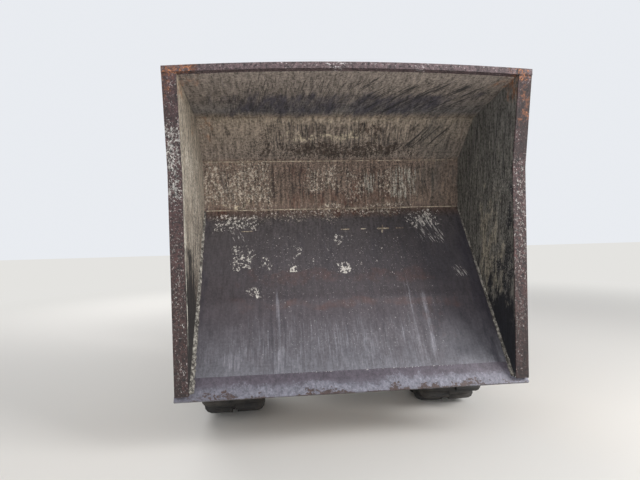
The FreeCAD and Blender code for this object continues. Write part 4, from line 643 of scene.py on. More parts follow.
def layered_finish(name, tones, layers, flat_axes, metallic=0.0, rough=0.72, outside=True, grainy=1.25):
    """Finish in layers, placed by one horizontal axis of the object and its height."""
    finish, tree, shader, place = new_finish(name, roughness=rough, metallic=metallic)
    axes = add_node(tree, "SeparateXYZ", {"Vector": place}).outputs
    flat = add_node(tree, "CombineXYZ", {"X": axes[flat_axes[0]], "Y": axes["Z"]}).outputs[0]
    third = ({"X", "Y"} - set(flat_axes)).pop()
    grain = add_node(tree, "CombineXYZ", {"X": axes[flat_axes[0]], "Y": axes["Z"], "Z": axes[third]}).outputs[0]
    colour, relief = worn_layers(tree, flat, grain, tone_along(tree, axes["Z"], tones), layers)
    colour, grains = speckled(tree, grain, colour, grainy)
    if outside:
        paint, paint_rough, chips = worn_enamel(tree, place, ENAMEL_YELLOW, wear=0.7)
        inner = facing_load(tree, place)
        colour = add_node(tree, "MixRGB", {"Fac": inner, "Color1": paint, "Color2": colour}).outputs["Color"]
        shine = add_node(tree, "MixRGB", {"Fac": inner, "Color1": paint_rough, "Color2": grey(rough)})
        tree.links.new(shine.outputs["Color"], shader.inputs["Roughness"])
        relief = add_node(tree, "Math", {0: relief, 1: inner}, operation="MULTIPLY").outputs[0]
    tree.links.new(colour, shader.inputs["Base Color"])
    height = add_node(tree, "Math", {0: grains, 1: 0.8, 2: relief}, operation="MULTIPLY_ADD")
    bump = add_node(tree, "Bump", {"Height": height.outputs[0], "Strength": 0.85, "Distance": 2 * MM})
    tree.links.new(bump.outputs[0], shader.inputs["Normal"])
    return finish


# Left and right are the machine's own, so the left plate stands on the viewer's right
dress(layered_finish("left_side_plate_coat_peeling", DARK_SIDE_TONES, DARK_SIDE_LAYERS, "Y"), "skip_side_left")
dress(layered_finish("right_side_plate_coat_streaked", PALE_SIDE_TONES, PALE_SIDE_LAYERS, "Y"), "skip_side_right")
dress(layered_finish("rusted_bar_and_flange_steel", RIM_TONES, RIM_LAYERS, "X", outside=False, grainy=0.9), "skip_rim")
dress(layered_finish("wear_plate_polished_by_loads", LIP_TONES, LIP_LAYERS, "X", 0.2, 0.45, False, 0.5), "skip_lip")
print("sides, rim and pouring edge finished")
# %% [markdown]
# The rest of the machine has a handful of finishes that every maker uses: enamel on sheet metal and frames,
# hard chrome on the rams' rods, rubber, moulded plastic, cast iron and browned steel. Each starts from the
# real material's own values.

# %% Paints, metals and plastics


def chrome_finish():
    """Hard chrome plate on a ground rod, mirror smooth with faint wiped oil."""
    finish, tree, shader, place = new_finish("hard_chrome_rod", roughness=0.08, metallic=1.0)
    shader.inputs["Base Color"].default_value = linear("#c8cacd")
    oil = add_node(tree, "TexNoise", {"Vector": place, "Scale": 14.0, "Detail": 4.0})
    rough = add_node(tree, "MapRange", {"Value": oil.outputs["Fac"], "From Min": 0.35, "From Max": 0.7, "To Min": 0.05,
                                        "To Max": 0.2})
    tree.links.new(rough.outputs[0], shader.inputs["Roughness"])
    return finish


def cast_iron_finish(name, colour_hex):
    """Sand casting under a coat of enamel, with the mould's grain of about 1 mm."""
    finish, tree, shader, place = new_finish(name)
    colour, roughness, chips = worn_enamel(tree, place, colour_hex, 0.4)
    tree.links.new(colour, shader.inputs["Base Color"])
    tree.links.new(roughness, shader.inputs["Roughness"])
    grain = add_node(tree, "TexNoise", {"Vector": place, "Scale": 420.0, "Detail": 3.0})
    bump = add_node(tree, "Bump", {"Height": grain.outputs["Fac"], "Strength": 0.35, "Distance": 1 * MM})
    tree.links.new(bump.outputs[0], shader.inputs["Normal"])
    return finish


def plastic_finish(name, colour_hex, grain_mm=0.8, roughness=0.55):
    """Moulded plastic with a fine spark-eroded grain."""
    finish, tree, shader, place = new_finish(name, roughness=roughness)
    shader.inputs["IOR"].default_value = 1.49
    fade = add_node(tree, "TexNoise", {"Vector": place, "Scale": 6.0, "Detail": 5.0})
    dusty = add_node(tree, "MixRGB", {"Color1": linear(colour_hex), "Color2": linear("#6d675f")})
    amount = add_node(tree, "MapRange", {"Value": fade.outputs["Fac"], "From Min": 0.4, "From Max": 0.8, "To Max": 0.25})
    tree.links.new(amount.outputs[0], dusty.inputs["Fac"])
    tree.links.new(dusty.outputs["Color"], shader.inputs["Base Color"])
    grain = add_node(tree, "TexVoronoi", {"Vector": place, "Scale": 1.0 / (grain_mm * MM)})
    bump = add_node(tree, "Bump", {"Height": grain.outputs["Distance"], "Strength": 0.25, "Distance": 0.15 * MM})
    tree.links.new(bump.outputs[0], shader.inputs["Normal"])
    return finish


def rubber_finish():
    """Tyre rubber: nearly black, matt, with pale mud dried in the low places."""
    finish, tree, shader, place = new_finish("tyre_rubber_with_dried_mud", roughness=0.85)
    shader.inputs["IOR"].default_value = 1.52
    mud = add_node(tree, "TexNoise", {"Vector": place, "Scale": 7.0, "Detail": 8.0, "Roughness": 0.7})
    amount = add_node(tree, "ValToRGB", {"Fac": mud.outputs["Fac"]}, stops=[(0.42, grey(0.04)), (0.7, grey(0.36))])
    colour = add_node(tree, "MixRGB", {"Fac": amount.outputs["Color"], "Color1": linear("#171718"),
                                       "Color2": linear("#6a6258")})
    tree.links.new(colour.outputs["Color"], shader.inputs["Base Color"])
    grain = add_node(tree, "TexNoise", {"Vector": place, "Scale": 160.0, "Detail": 6.0})
    bump = add_node(tree, "Bump", {"Height": grain.outputs["Fac"], "Strength": 0.35, "Distance": 1 * MM})
    tree.links.new(bump.outputs[0], shader.inputs["Normal"])
    return finish


grey_enamel = enamel_finish("charcoal_frame_enamel", "#36373a", 0.4)
wheel_enamel = enamel_finish("cream_wheel_enamel", "#b9b4a6", 0.5)
chrome = chrome_finish()
engine_iron = cast_iron_finish("painted_engine_casting", "#3c4044")
tail_iron = cast_iron_finish("painted_tail_casting", "#323337")
black_plastic = plastic_finish("black_moulded_plastic", "#1c1c1d")
amber_plastic = plastic_finish("amber_dome_plastic", "#d9730f", roughness=0.2)
lamp_plastic = plastic_finish("clear_lamp_lens", "#c9cbc8", roughness=0.15)
browned_steel = enamel_finish("heat_browned_steel", "#5b4a40", 0.9)
rubber = rubber_finish()

dress(yellow_enamel, "engine_bonnet", "mudguards", "skip_underframe")
dress(grey_enamel, "front_frame", "front_axle", "rear_frame", "rear_axle", "centre_pivot", "tip_ram_barrel_left",
      "tip_ram_barrel_right", "steering_ram_barrel", "platform", "rops_posts", "rops_hoop", "seat_base", "handrails",
      "fuel_tank", "hydraulic_tank")
dress(chrome, "tip_ram_rod_left", "tip_ram_rod_right", "steering_ram_rod")
dress(engine_iron, "engine_block")
dress(tail_iron, "rear_bumper")
dress(black_plastic, "console", "controls", "steering_wheel", "rear_grille", "seat_cushion", "seat_back")
dress(amber_plastic, "beacon")
dress(lamp_plastic, "lamps")
dress(browned_steel, "exhaust")
WHEELS = ("front_left", "front_right", "rear_left", "rear_right")
dress(rubber, *("tyre_" + wheel for wheel in WHEELS))
dress(wheel_enamel, *("rim_" + wheel for wheel in WHEELS))
print("finishes given to", sum(1 for n in nodes.values() if n.material_slots[0].material), "nodes")


# %% [markdown]
# The tyres are cross-ply flotation tyres on steel rims. In the model each is a ring of flats with plain bars.
# Here the same section is turned smoothly, and each bar is curved over the shoulder with soft edges. A tyre
# is easiest to make by turning its half section about the axle, as the mould itself is turned. One bar is
# shaped at the bottom of the wheel, and its copies are turned round, on alternate halves.

# %% Modelling helpers


def only(piece):
    """Makes a piece the only selected one."""
    bpy.ops.object.select_all(action="DESELECT")
    piece.select_set(True)
    bpy.context.view_layer.objects.active = piece
    return piece


def set_in_place():
    """Puts the active object's place and turn into its mesh."""
    bpy.ops.object.transform_apply(location=True, rotation=True, scale=True)
    return bpy.context.object


def round_bar(radius, start, end, vertices=20, end_radius=None):
    """Round bar or cone between two points."""
    start, end = Vector(start), Vector(end)
    bpy.ops.object.select_all(action="DESELECT")
    turn = (end - start).to_track_quat("Z", "Y").to_euler()
    bpy.ops.mesh.primitive_cone_add(vertices=vertices, radius1=radius, depth=(end - start).length, rotation=turn,
                                    radius2=radius if end_radius is None else end_radius, location=(start + end) / 2)
    return set_in_place()


def block(low, high):
    """Block between two opposite corners."""
    low, high = Vector(low), Vector(high)
    bpy.ops.object.select_all(action="DESELECT")
    bpy.ops.mesh.primitive_cube_add(size=1, location=(low + high) / 2)
    bpy.context.object.scale = high - low
    return set_in_place()


def ring(radius, thickness, place, axis, around=40, section=8):
    """Round ring about an axis."""
    bpy.ops.object.select_all(action="DESELECT")
    bpy.ops.mesh.primitive_torus_add(major_radius=radius, minor_radius=thickness, major_segments=around,
                                     minor_segments=section, location=place,
                                     rotation=Vector(axis).to_track_quat("Z", "Y").to_euler())
    return set_in_place()


def bevelled(piece, width, segments=2, angle=40):
    """Rounds the sharp edges of a piece."""
    bevel = only(piece).modifiers.new("edges", "BEVEL")
    bevel.width, bevel.segments = width, segments
    bevel.limit_method, bevel.angle_limit = "ANGLE", math.radians(angle)
    bpy.ops.object.modifier_apply(modifier="edges")
    return piece


def copied(piece, move=(0, 0, 0), turn=0.0, axis=(1, 0, 0), about=(0, 0, 0)):
    """A copy with its own mesh, turned about an axis through a point and then moved."""
    twin = piece.copy()
    twin.data = piece.data.copy()
    bpy.context.scene.collection.objects.link(twin)
    about = Vector(about)
    twin.data.transform(Matrix.Translation(Vector(move) + about) @ Matrix.Rotation(turn, 4, Vector(axis))
                        @ Matrix.Translation(-about))
    return twin


def joined(pieces):
    """One object from several."""
    only(pieces[0])
    for piece in pieces[1:]:
        piece.select_set(True)
    bpy.ops.object.join()
    return bpy.context.object


def mirror_copy(piece):
    """The same piece on the other side of the machine, its faces turned outwards again."""
    twin = copied(piece)
    twin.data.transform(Matrix.Scale(-1, 4, (1, 0, 0)))
    twin.data.flip_normals()
    return twin


def placed(piece, name, body, finish, angle=35):
    """Names a finished piece, smooths it, and says what it moves with and what it is made of."""
    only(piece)
    piece.name = piece.data.name = name
    piece.data.materials.clear()
    bpy.ops.object.shade_smooth_by_angle(angle=math.radians(angle))
    dress(finish, piece)
    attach(piece, body)
    print(name, "has", len(piece.data.polygons), "faces")
    return piece


# %% Tyres
tyre_low, tyre_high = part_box("tyre_front_left")
AXLE = (tyre_low + tyre_high) / 2
TYRE_R = (tyre_high.z - tyre_low.z) / 2
TYRE_HALF = (tyre_high.x - tyre_low.x) / 2
BARS_ROUND = 32
BAR_WIDTH = 0.044
BAR_SWEEP = 0.044
# Half section of the carcass from the bead to the tread's middle: out from the middle, below the tips' radius
CARCASS = ((0.035, 0.289), (0.026, 0.281), (0.019, 0.268), (0.0215, 0.262), (0.013, 0.240), (0.0105, 0.215),
           (0.0075, 0.212), (0.0075, 0.204), (0.0095, 0.200), (0.009, 0.150), (0.010, 0.118), (0.0075, 0.114),
           (0.0085, 0.106), (0.014, 0.100), (0.023, 0.070), (0.037, 0.048), (0.058, 0.037), (0.12, 0.032),
           (0.20, 0.0305), (0.2449, 0.030))
# A bar's ridge and its foot on the carcass, given in the same way
BAR_RIDGE = ((0.231, 0.0), (0.12, 0.0), (0.058, 0.0015), (0.030, 0.012), (0.010, 0.036), (0.0015, 0.066), (0.004, 0.100),
             (0.014, 0.118))
BAR_FOOT = ((0.231, 0.036), (0.12, 0.038), (0.062, 0.043), (0.042, 0.055), (0.030, 0.072), (0.024, 0.092), (0.018, 0.110),
            (0.017, 0.121))


def turned_carcass():
    """Turns the closed section about the axle."""
    section = [(TYRE_HALF - inset, TYRE_R - below) for inset, below in CARCASS]
    section += [(-out, radius) for out, radius in reversed(section)]
    bpy.ops.object.select_all(action="DESELECT")
    bpy.ops.mesh.primitive_circle_add(vertices=len(section), radius=0.1)
    carcass = bpy.context.object
    for vertex, (out, radius) in zip(carcass.data.vertices, section):
        vertex.co = (AXLE.x + out, AXLE.y, AXLE.z - radius)
    bpy.ops.object.mode_set(mode="EDIT")
    bpy.ops.mesh.select_all(action="SELECT")
    bpy.ops.mesh.spin(steps=96, angle=math.tau, center=AXLE, axis=(1, 0, 0))
    bpy.ops.mesh.select_all(action="SELECT")
    bpy.ops.mesh.remove_doubles(threshold=0.0002)
    bpy.ops.mesh.normals_make_consistent(inside=False)
    bpy.ops.object.mode_set(mode="OBJECT")
    return carcass


def tread_bar():
    """One bar on the outer half, cut into stations and bent over the shoulder."""
    bar = block((0, -0.5, 0), (1, 0.5, 1))
    last = len(BAR_RIDGE) - 1
    bpy.ops.object.mode_set(mode="EDIT")
    for station in range(1, last):
        bpy.ops.mesh.select_all(action="SELECT")
        bpy.ops.mesh.bisect(plane_co=(station / last, 0, 0), plane_no=(1, 0, 0))
    bpy.ops.object.mode_set(mode="OBJECT")
    for vertex in bar.data.vertices:
        station = round(vertex.co.x * last)
        inset, below = (BAR_RIDGE if vertex.co.z > 0.5 else BAR_FOOT)[station]
        width = BAR_WIDTH * (1.0 if vertex.co.z > 0.5 else 1.22)
        sweep = BAR_SWEEP * (smooth(station, 0, last) - 0.5)
        angle = (sweep + vertex.co.y * width) / TYRE_R
        out, radius = TYRE_HALF - inset, TYRE_R - below
        vertex.co = (AXLE.x + out, AXLE.y + math.sin(angle) * radius, AXLE.z - math.cos(angle) * radius)
    bpy.ops.object.mode_set(mode="EDIT")
    bpy.ops.mesh.select_all(action="SELECT")
    bpy.ops.mesh.normals_make_consistent(inside=False)
    bpy.ops.object.mode_set(mode="OBJECT")
    return bevelled(bar, 0.005, 2, 50)


first_bar = tread_bar()
other_bar = copied(first_bar)
other_bar.data.transform(Matrix.Translation((2 * AXLE.x, 0, 0)) @ Matrix.Scale(-1, 4, (1, 0, 0)))
other_bar.data.flip_normals()
bars = [copied(first_bar if number % 2 == 0 else other_bar, turn=number * math.tau / BARS_ROUND, about=AXLE)
        for number in range(BARS_ROUND)]
bpy.data.objects.remove(first_bar)
bpy.data.objects.remove(other_bar)
left_tyre = joined([turned_carcass()] + bars)
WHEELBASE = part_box("tyre_rear_left")[0].y - tyre_low.y
tyres = {"front_left": left_tyre, "front_right": mirror_copy(left_tyre),
         "rear_left": copied(left_tyre, move=(0, WHEELBASE, 0))}
tyres["rear_right"] = mirror_copy(tyres["rear_left"])
for wheel, tyre in tyres.items():
    placed(tyre, "lugged_tyre_" + wheel, "wheel_" + wheel, rubber, 32)
    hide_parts("tyre_" + wheel)

# %% [markdown]
# Each rim is held by ten nuts on studs, with a washer under each. The hub has a cap with bolts and an oil
# plug, and a valve stands beside the disc. Nuts are six-sided bars with their corners taken off.

# %% Wheel nuts, hub bolts and valves
NUT_COUNT = 10
NUT_CIRCLE = 0.150
DISC_FACE = 0.0475
CAP_FACE = 0.085


def wheel_fasteners():
    """Nuts, studs, washers, cap bolts, plug and valve of the left front wheel."""
    pieces = []
    nut_x = AXLE.x + DISC_FACE
    top = Vector((0, 0, NUT_CIRCLE))
    nut = bevelled(round_bar(0.017, AXLE + top + Vector((DISC_FACE, 0, 0)),
                             AXLE + top + Vector((DISC_FACE + 0.018, 0, 0)), 6), 0.0022)
    washer = bevelled(round_bar(0.022, AXLE + top + Vector((DISC_FACE - 0.006, 0, 0)),
                                AXLE + top + Vector((DISC_FACE + 0.003, 0, 0)), 20), 0.001)
    stud = bevelled(round_bar(0.010, AXLE + top + Vector((DISC_FACE, 0, 0)),
                              AXLE + top + Vector((DISC_FACE + 0.028, 0, 0)), 14), 0.0015)
    fixing = joined([nut, washer, stud])
    pieces += [copied(fixing, turn=i * math.tau / NUT_COUNT, about=AXLE) for i in range(NUT_COUNT)]
    bpy.data.objects.remove(fixing)
    side = Vector((0, 0, 0.062))
    screw = bevelled(round_bar(0.009, AXLE + side + Vector((CAP_FACE - 0.002, 0, 0)),
                               AXLE + side + Vector((CAP_FACE + 0.008, 0, 0)), 6), 0.0014)
    pieces += [copied(screw, turn=(i + 0.5) * math.tau / 6, about=AXLE) for i in range(6)]
    bpy.data.objects.remove(screw)
    centre = AXLE + Vector((CAP_FACE, 0, 0))
    pieces.append(bevelled(round_bar(0.034, centre, centre + Vector((0.007, 0, 0)), 28, 0.030), 0.002))
    pieces.append(bevelled(round_bar(0.013, centre, centre + Vector((0.019, 0, 0)), 6), 0.002))
    foot = AXLE + Vector((0.056, 0.0, 0.268))
    pieces.append(round_bar(0.007, foot, foot + Vector((0.012, 0, 0)), 12, 0.0045))
    pieces.append(bevelled(round_bar(0.0045, foot, foot + Vector((0.050, 0, -0.014)), 10), 0.001))
    print("nuts stand", round(nut_x, 3), "m from the middle")
    return joined(pieces)


zinc = enamel_finish("zinc_plated_steel", "#8b8d8f", 0.5)
zinc.node_tree.nodes["Principled BSDF"].inputs["Metallic"].default_value = 0.85
nuts = {"front_left": wheel_fasteners()}
nuts["front_right"] = mirror_copy(nuts["front_left"])
nuts["rear_left"] = copied(nuts["front_left"], move=(0, WHEELBASE, 0))
nuts["rear_right"] = mirror_copy(nuts["rear_left"])
for wheel, fasteners in nuts.items():
    placed(fasteners, "wheel_nuts_" + wheel, "wheel_" + wheel, zinc, 30)

# %% [markdown]
# The plates of the skip meet in welds. Two runs cross the back, and a thick fillet fills each lower corner
# between floor and side, where dried mortar has built up on it. A bead is a grid rolled into a closed roll
# along its line. Its size wanders as a welder's hand does, and it thins to nothing where it was ground off.

# %% Weld beads


def weld_finish(name, pale, dark, patch_mm):
    """Rough steel weld with mortar dust on its crown, broken by dark rust every few centimetres."""
    finish, tree, shader, place = new_finish(name, roughness=0.85)
    waves = [1 / (2.2 * patch_mm * MM)] * 3
    spread = add_node(tree, "VectorMath", {0: place, 1: waves}, operation="MULTIPLY").outputs[0]
    patches = add_node(tree, "TexNoise", {"Vector": spread, "Scale": 1.0, "Detail": 5.0, "Roughness": 0.7})
    share = add_node(tree, "ValToRGB", {"Fac": patches.outputs["Fac"]}, stops=[(0.40, grey(0)), (0.60, grey(1))])
    colour = add_node(tree, "MixRGB", {"Fac": share.outputs["Color"], "Color1": linear(dark), "Color2": linear(pale)})
    colour, grains = speckled(tree, place, colour.outputs["Color"], 1.1)
    tree.links.new(colour, shader.inputs["Base Color"])
    bump = add_node(tree, "Bump", {"Height": grains, "Strength": 0.8, "Distance": 2 * MM})
    tree.links.new(bump.outputs[0], shader.inputs["Normal"])
    return finish


def weld_bead(line, widths, side, facing, seed, step=0.012):
    """Roll of weld along a line, between two widths."""
    start, end = Vector(line[0]), Vector(line[1])
    count = max(8, int((end - start).length / step))
    bpy.ops.object.select_all(action="DESELECT")
    bpy.ops.mesh.primitive_grid_add(x_subdivisions=8, y_subdivisions=count, size=2.0)
    bead = bpy.context.object
    for vertex in bead.data.vertices:
        around, share = (vertex.co.x + 1) * math.pi, (vertex.co.y + 1) / 2
        here = start.lerp(end, share)
        wander = noise.noise(Vector((share * (end - start).length * 22, seed, 0.0)))
        lumps = noise.noise(here * 55 + Vector((seed, around * 0.4, 0)))
        width = (widths[0] + (widths[1] - widths[0]) * share) * (1 + 0.35 * wander + 0.30 * lumps)
        if share < 0.001 or share > 0.999:
            width = 0.0003
        vertex.co = here + side * (math.cos(around) * width / 2) - facing * (math.sin(around) * width * 0.34)
    bpy.ops.object.mode_set(mode="EDIT")
    bpy.ops.mesh.select_all(action="SELECT")
    bpy.ops.mesh.remove_doubles(threshold=0.0001)
    bpy.ops.mesh.normals_make_consistent(inside=False)
    bpy.ops.object.mode_set(mode="OBJECT")
    for polygon in bead.data.polygons:
        polygon.use_smooth = True
    return bead


def inside_point(x, run, out=0.0):
    """Point on the load side of the plate, lifted off it by a distance."""
    place, facing = plate_point(run)
    place = place + facing * out
    return Vector((x, LIP_Y + place.x, place.y))


ACROSS = Vector((1, 0, 0))
FLOOR_FACING = (inside_point(0, 0.5, 1.0) - inside_point(0, 0.5)).normalized()
FLOOR_ALONG = (inside_point(0, 1.0) - inside_point(0, 0.5)).normalized()
cross_beads = []
for run, widths, seed in ((BACK_WELD, (0.010, 0.006), 0.0), (FLOOR_END, (0.009, 0.011), 4.0)):
    line = (inside_point(0.01 - SKIP_HALF, run, 0.001), inside_point(SKIP_HALF - 0.01, run, 0.001))
    cross_beads.append(weld_bead(line, widths, Vector((0, 0, 1)), Vector((0, -1, 0)), seed))
# An old run on the floor is left in pieces, with a cross of weld over one of them
TRACE_RUN = 1.385
TRACE_PIECES = ((-0.80, -0.70, 0.008), (0.03, 0.11, 0.011), (0.20, 0.25, 0.009), (0.34, 0.45, 0.018),
                (0.50, 0.575, 0.010))
for start_x, end_x, width in TRACE_PIECES:
    trace = (inside_point(start_x, TRACE_RUN, 0.001), inside_point(end_x, TRACE_RUN, 0.001))
    cross_beads.append(weld_bead(trace, (width, width), FLOOR_ALONG, FLOOR_FACING, 21.0 + start_x))
upright = (inside_point(0.38, TRACE_RUN - 0.05, 0.001), inside_point(0.395, TRACE_RUN + 0.04, 0.001))
cross_beads.append(weld_bead(upright, (0.014, 0.008), ACROSS, FLOOR_FACING, 33.0))
cross_finish = weld_finish("weld_run_dusted_with_mortar", "#a99f8d", "#6a5a4c", 60)
cross_welds = placed(joined(cross_beads), "skip_back_welds", "skip", cross_finish, 60)

corner_finish = weld_finish("corner_weld_caked_with_mortar", "#8d8981", "#38332f", 12)
for name, side, widths, seed in (("skip_corner_weld_right", -1, (0.058, 0.024), 50.0),
                                 ("skip_corner_weld_left", 1, (0.034, 0.012), 70.0)):
    x = side * (SKIP_HALF - 0.004)
    line = (inside_point(x, 0.045, 0.004), inside_point(x, FLOOR_END, 0.003))
    slanting = (ACROSS * -side + FLOOR_FACING).normalized()
    lying = (ACROSS * side + FLOOR_FACING).normalized()
    bead = weld_bead(line, widths, lying, slanting, seed, step=0.008)
    placed(bead, name, "skip", corner_finish, 60)

# %% [markdown]
# The seat is vinyl over foam, in two pads. A sewn cover is tight over its filling: it is crowned in the
# middle, pulled in at the corners, and creased along the stitched channels. The surest way to that shape
# is to let a slightly smaller cover swell under pressure as cloth, and to sew the channels into it after.

# %% Seat pads
VOXEL = 5.5 * MM
SWELL_CAP = 24 * MM
PROUD = 9 * MM


def vinyl_finish():
    """Calendered vinyl on a knit backing: satin, with an embossed grain of about 2 mm and grey wear."""
    finish, tree, shader, place = new_finish("black_embossed_vinyl", roughness=0.46)
    shader.inputs["Sheen Weight"].default_value = 0.15
    wear = add_node(tree, "TexNoise", {"Vector": place, "Scale": 9.0, "Detail": 6.0, "Roughness": 0.7})
    amount = add_node(tree, "MapRange", {"Value": wear.outputs["Fac"], "From Min": 0.45, "From Max": 0.75,
                                         "To Max": 0.4})
    colour = add_node(tree, "MixRGB", {"Fac": amount.outputs[0], "Color1": linear("#1d1d1f"),
                                       "Color2": linear("#57534e")})
    tree.links.new(colour.outputs["Color"], shader.inputs["Base Color"])
    grain = add_node(tree, "TexVoronoi", {"Vector": place, "Scale": 420.0}, feature="DISTANCE_TO_EDGE")
    bump = add_node(tree, "Bump", {"Height": grain.outputs["Distance"], "Strength": 0.3, "Distance": 0.5 * MM})
    tree.links.new(bump.outputs[0], shader.inputs["Normal"])
    return finish


def coordinates(mesh):
    flat = numpy.empty(len(mesh.vertices) * 3)
    mesh.vertices.foreach_get("co", flat)
    return flat.reshape(-1, 3)


def set_coordinates(mesh, points):
    mesh.vertices.foreach_set("co", points.ravel())
    mesh.update()


def swollen_pad(low, high, inset, corner):
    """Rounded block, remeshed finely and filled out by pressure."""
    pad = bevelled(block(low + inset, high - inset), corner, 5, 30)
    remesh = pad.modifiers.new("remesh", "REMESH")
    remesh.mode, remesh.voxel_size = "VOXEL", VOXEL
    bpy.ops.object.modifier_apply(modifier="remesh")
    start = coordinates(pad.data)
    fill = pad.modifiers.new("fill", "CLOTH")
    fill.settings.use_pressure = True
    fill.settings.uniform_pressure_force = 4.0
    fill.settings.effector_weights.gravity = 0.0
    fill.settings.tension_stiffness = fill.settings.compression_stiffness = 12.0
    for step in range(1, 21):
        bpy.context.scene.frame_set(step)
    bpy.ops.object.modifier_apply(modifier="fill")
    bpy.context.scene.frame_set(1)
    moved = coordinates(pad.data) - start
    length = numpy.maximum(numpy.linalg.norm(moved, axis=1), 1e-9)
    start = start + moved * numpy.minimum(1.0, SWELL_CAP / length)[:, None]
    print("the cover swelled by up to", round(float(length.max()) * 1000), "mm before its cap")
    set_coordinates(pad.data, start)
    return pad


def sewn(pad, level_axis, resting, lines, cross_lines, front):
    """Flattens the side that rests, sews the channels, and adds one subdivision."""
    points = coordinates(pad.data)
    across = 1 if level_axis == 2 else 2
    toward = 1.0 if front > resting else -1.0
    points[:, level_axis] = toward * numpy.maximum(toward * points[:, level_axis], toward * resting)
    points[:, level_axis] = toward * numpy.minimum(toward * points[:, level_axis], toward * front)
    upper = numpy.clip((toward * (points[:, level_axis] - resting) - 0.02) / 0.03, 0, 1)
    depth = numpy.zeros(len(points))
    for line in lines:
        depth = numpy.maximum(depth, numpy.exp(-((points[:, 0] - line) / (6 * MM)) ** 2))
    for line in cross_lines:
        depth = numpy.maximum(depth, numpy.exp(-((points[:, across] - line) / (6 * MM)) ** 2))
    crease = numpy.array([noise.noise(Vector(p * 26)) for p in points]) * 1.2 * MM
    points[:, level_axis] -= toward * (depth * 9 * MM * upper + crease * upper)
    set_coordinates(pad.data, points)
    finer = only(pad).modifiers.new("finer", "SUBSURF")
    finer.levels = finer.render_levels = 1
    bpy.ops.object.modifier_apply(modifier="finer")
    return pad


def piping(pad, middle, half, level_axis, level, corner):
    """Cord sewn round a pad's edge, laid on its surface."""
    across = 1 if level_axis == 2 else 2
    corners = []
    for turn in range(64):
        angle = (turn + 0.5) / 64 * math.tau
        spot = [0.0, 0.0, 0.0]
        spot[0] = middle[0] + half[0] * math.copysign(abs(math.cos(angle)) ** (2 / corner), math.cos(angle))
        spot[across] = middle[1] + half[1] * math.copysign(abs(math.sin(angle)) ** (2 / corner), math.sin(angle))
        spot[level_axis] = level
        corners.append(pad.closest_point_on_mesh(Vector(spot))[1])
    data = bpy.data.curves.new("piping", "CURVE")
    data.dimensions = "3D"
    data.bevel_depth, data.bevel_resolution = 3.4 * MM, 2
    line = data.splines.new("NURBS")
    line.points.add(len(corners) - 1)
    for point, corner_place in zip(line.points, corners):
        point.co = (*corner_place, 1.0)
    line.use_cyclic_u = True
    line.order_u = 3
    cord = bpy.data.objects.new("piping", data)
    bpy.context.scene.collection.objects.link(cord)
    only(cord)
    bpy.ops.object.convert(target="MESH")
    return bpy.context.object


vinyl = vinyl_finish()
cushion_low, cushion_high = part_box("seat_cushion")
inset = Vector((13, 13, 12)) * MM
cushion = swollen_pad(cushion_low, cushion_high, inset, 34 * MM)
middle_y = (cushion_low.y + cushion_high.y) / 2
sewn(cushion, 2, cushion_low.z, (-0.14, 0.14), [middle_y + step for step in (-0.09, 0.0, 0.09)],
     cushion_high.z + PROUD)
edge = piping(cushion, (0.0, middle_y), (0.244, 0.158), 2, cushion_high.z - 0.028, 5.0)
cushion = placed(joined([cushion, edge]), "padded_seat_cushion", "rear_chassis", vinyl, 60)
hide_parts("seat_cushion")

back_low, back_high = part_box("seat_back")
inset = Vector((13, 12, 13)) * MM
backrest = swollen_pad(back_low, back_high, inset, 32 * MM)
middle_z = (back_low.z + back_high.z) / 2
sewn(backrest, 1, back_high.y, (-0.14, 0.14), [middle_z + step for step in (-0.12, 0.0, 0.12)],
     back_low.y - PROUD)
edge = piping(backrest, (0.0, middle_z), (0.234, 0.234), 1, back_low.y + 0.024, 5.0)
backrest = placed(joined([backrest, edge]), "padded_seat_back", "rear_chassis", vinyl, 60)
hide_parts("seat_back")

# %% [markdown]
# Small fittings tell the size of a machine: bolt heads, lamp guards, tank caps and treads. They are bought
# parts, so each is modelled once as the part that a maker would buy, and copied to its places.

# %% Fastener helper and materials
moulded_red = plastic_finish("red_lens_plastic", "#8f1a14", roughness=0.2)
moulded_amber = plastic_finish("amber_lens_plastic", "#c96a12", roughness=0.2)
dial_paint = plastic_finish("white_dial_print", "#dcdad2", roughness=0.5)
red_paint = enamel_finish("red_lock_bar_enamel", "#8e2a20", 0.6)


def bolt(place, direction, across=0.019):
    """Hexagon head on its washer, on a face that looks along a direction."""
    place, direction = Vector(place), Vector(direction).normalized()
    washer = round_bar(across * 0.68, place - direction * 0.002, place + direction * 0.003, 18)
    head = bevelled(round_bar(across * 0.56, place + direction * 0.002, place + direction * across * 0.6, 6), 0.0013)
    return joined([washer, head])


def both(pieces):
    """The pieces and their mirror images on the other side, as one."""
    piece = joined(pieces)
    return joined([piece, mirror_copy(piece)])


# %% Bolts on the frame, roll hoop feet, axle pads and tail weight
post_low, post_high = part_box("rops_posts")
deck_top = post_low.z
hoop_y = (post_low.y + post_high.y) / 2
bolts = [bolt((x, hoop_y + y, deck_top + 0.020), (0, 0, 1)) for x in (0.5050, 0.5925) for y in (-0.024, 0.024)]
weight_back = 2.2225
bolts += [bolt((x, weight_back, z), (0, 1, 0), 0.036) for x in (0.24, 0.50) for z in (0.56, 0.80)]
bolts += [bolt((0.46, rear + y, z), (1, 0, 0), 0.024) for rear, z in ((-1.2475, 0.80), (-1.2475, 0.70))
          for y in (-0.05, 0.05)]
placed(both(bolts[:8]), "frame_bolts_rear", "rear_chassis", zinc)
placed(both(bolts[8:]), "frame_bolts_front", "front_chassis", zinc)

# %% [markdown]
# The deck is chequer plate: short raised bars, alternately turned, rolled into the sheet for grip. A cell of
# two bars is repeated by array modifiers, and the bars under the console, seat and posts are taken away.

# %% Chequer plate and step grips
BAR_PITCH = 0.042


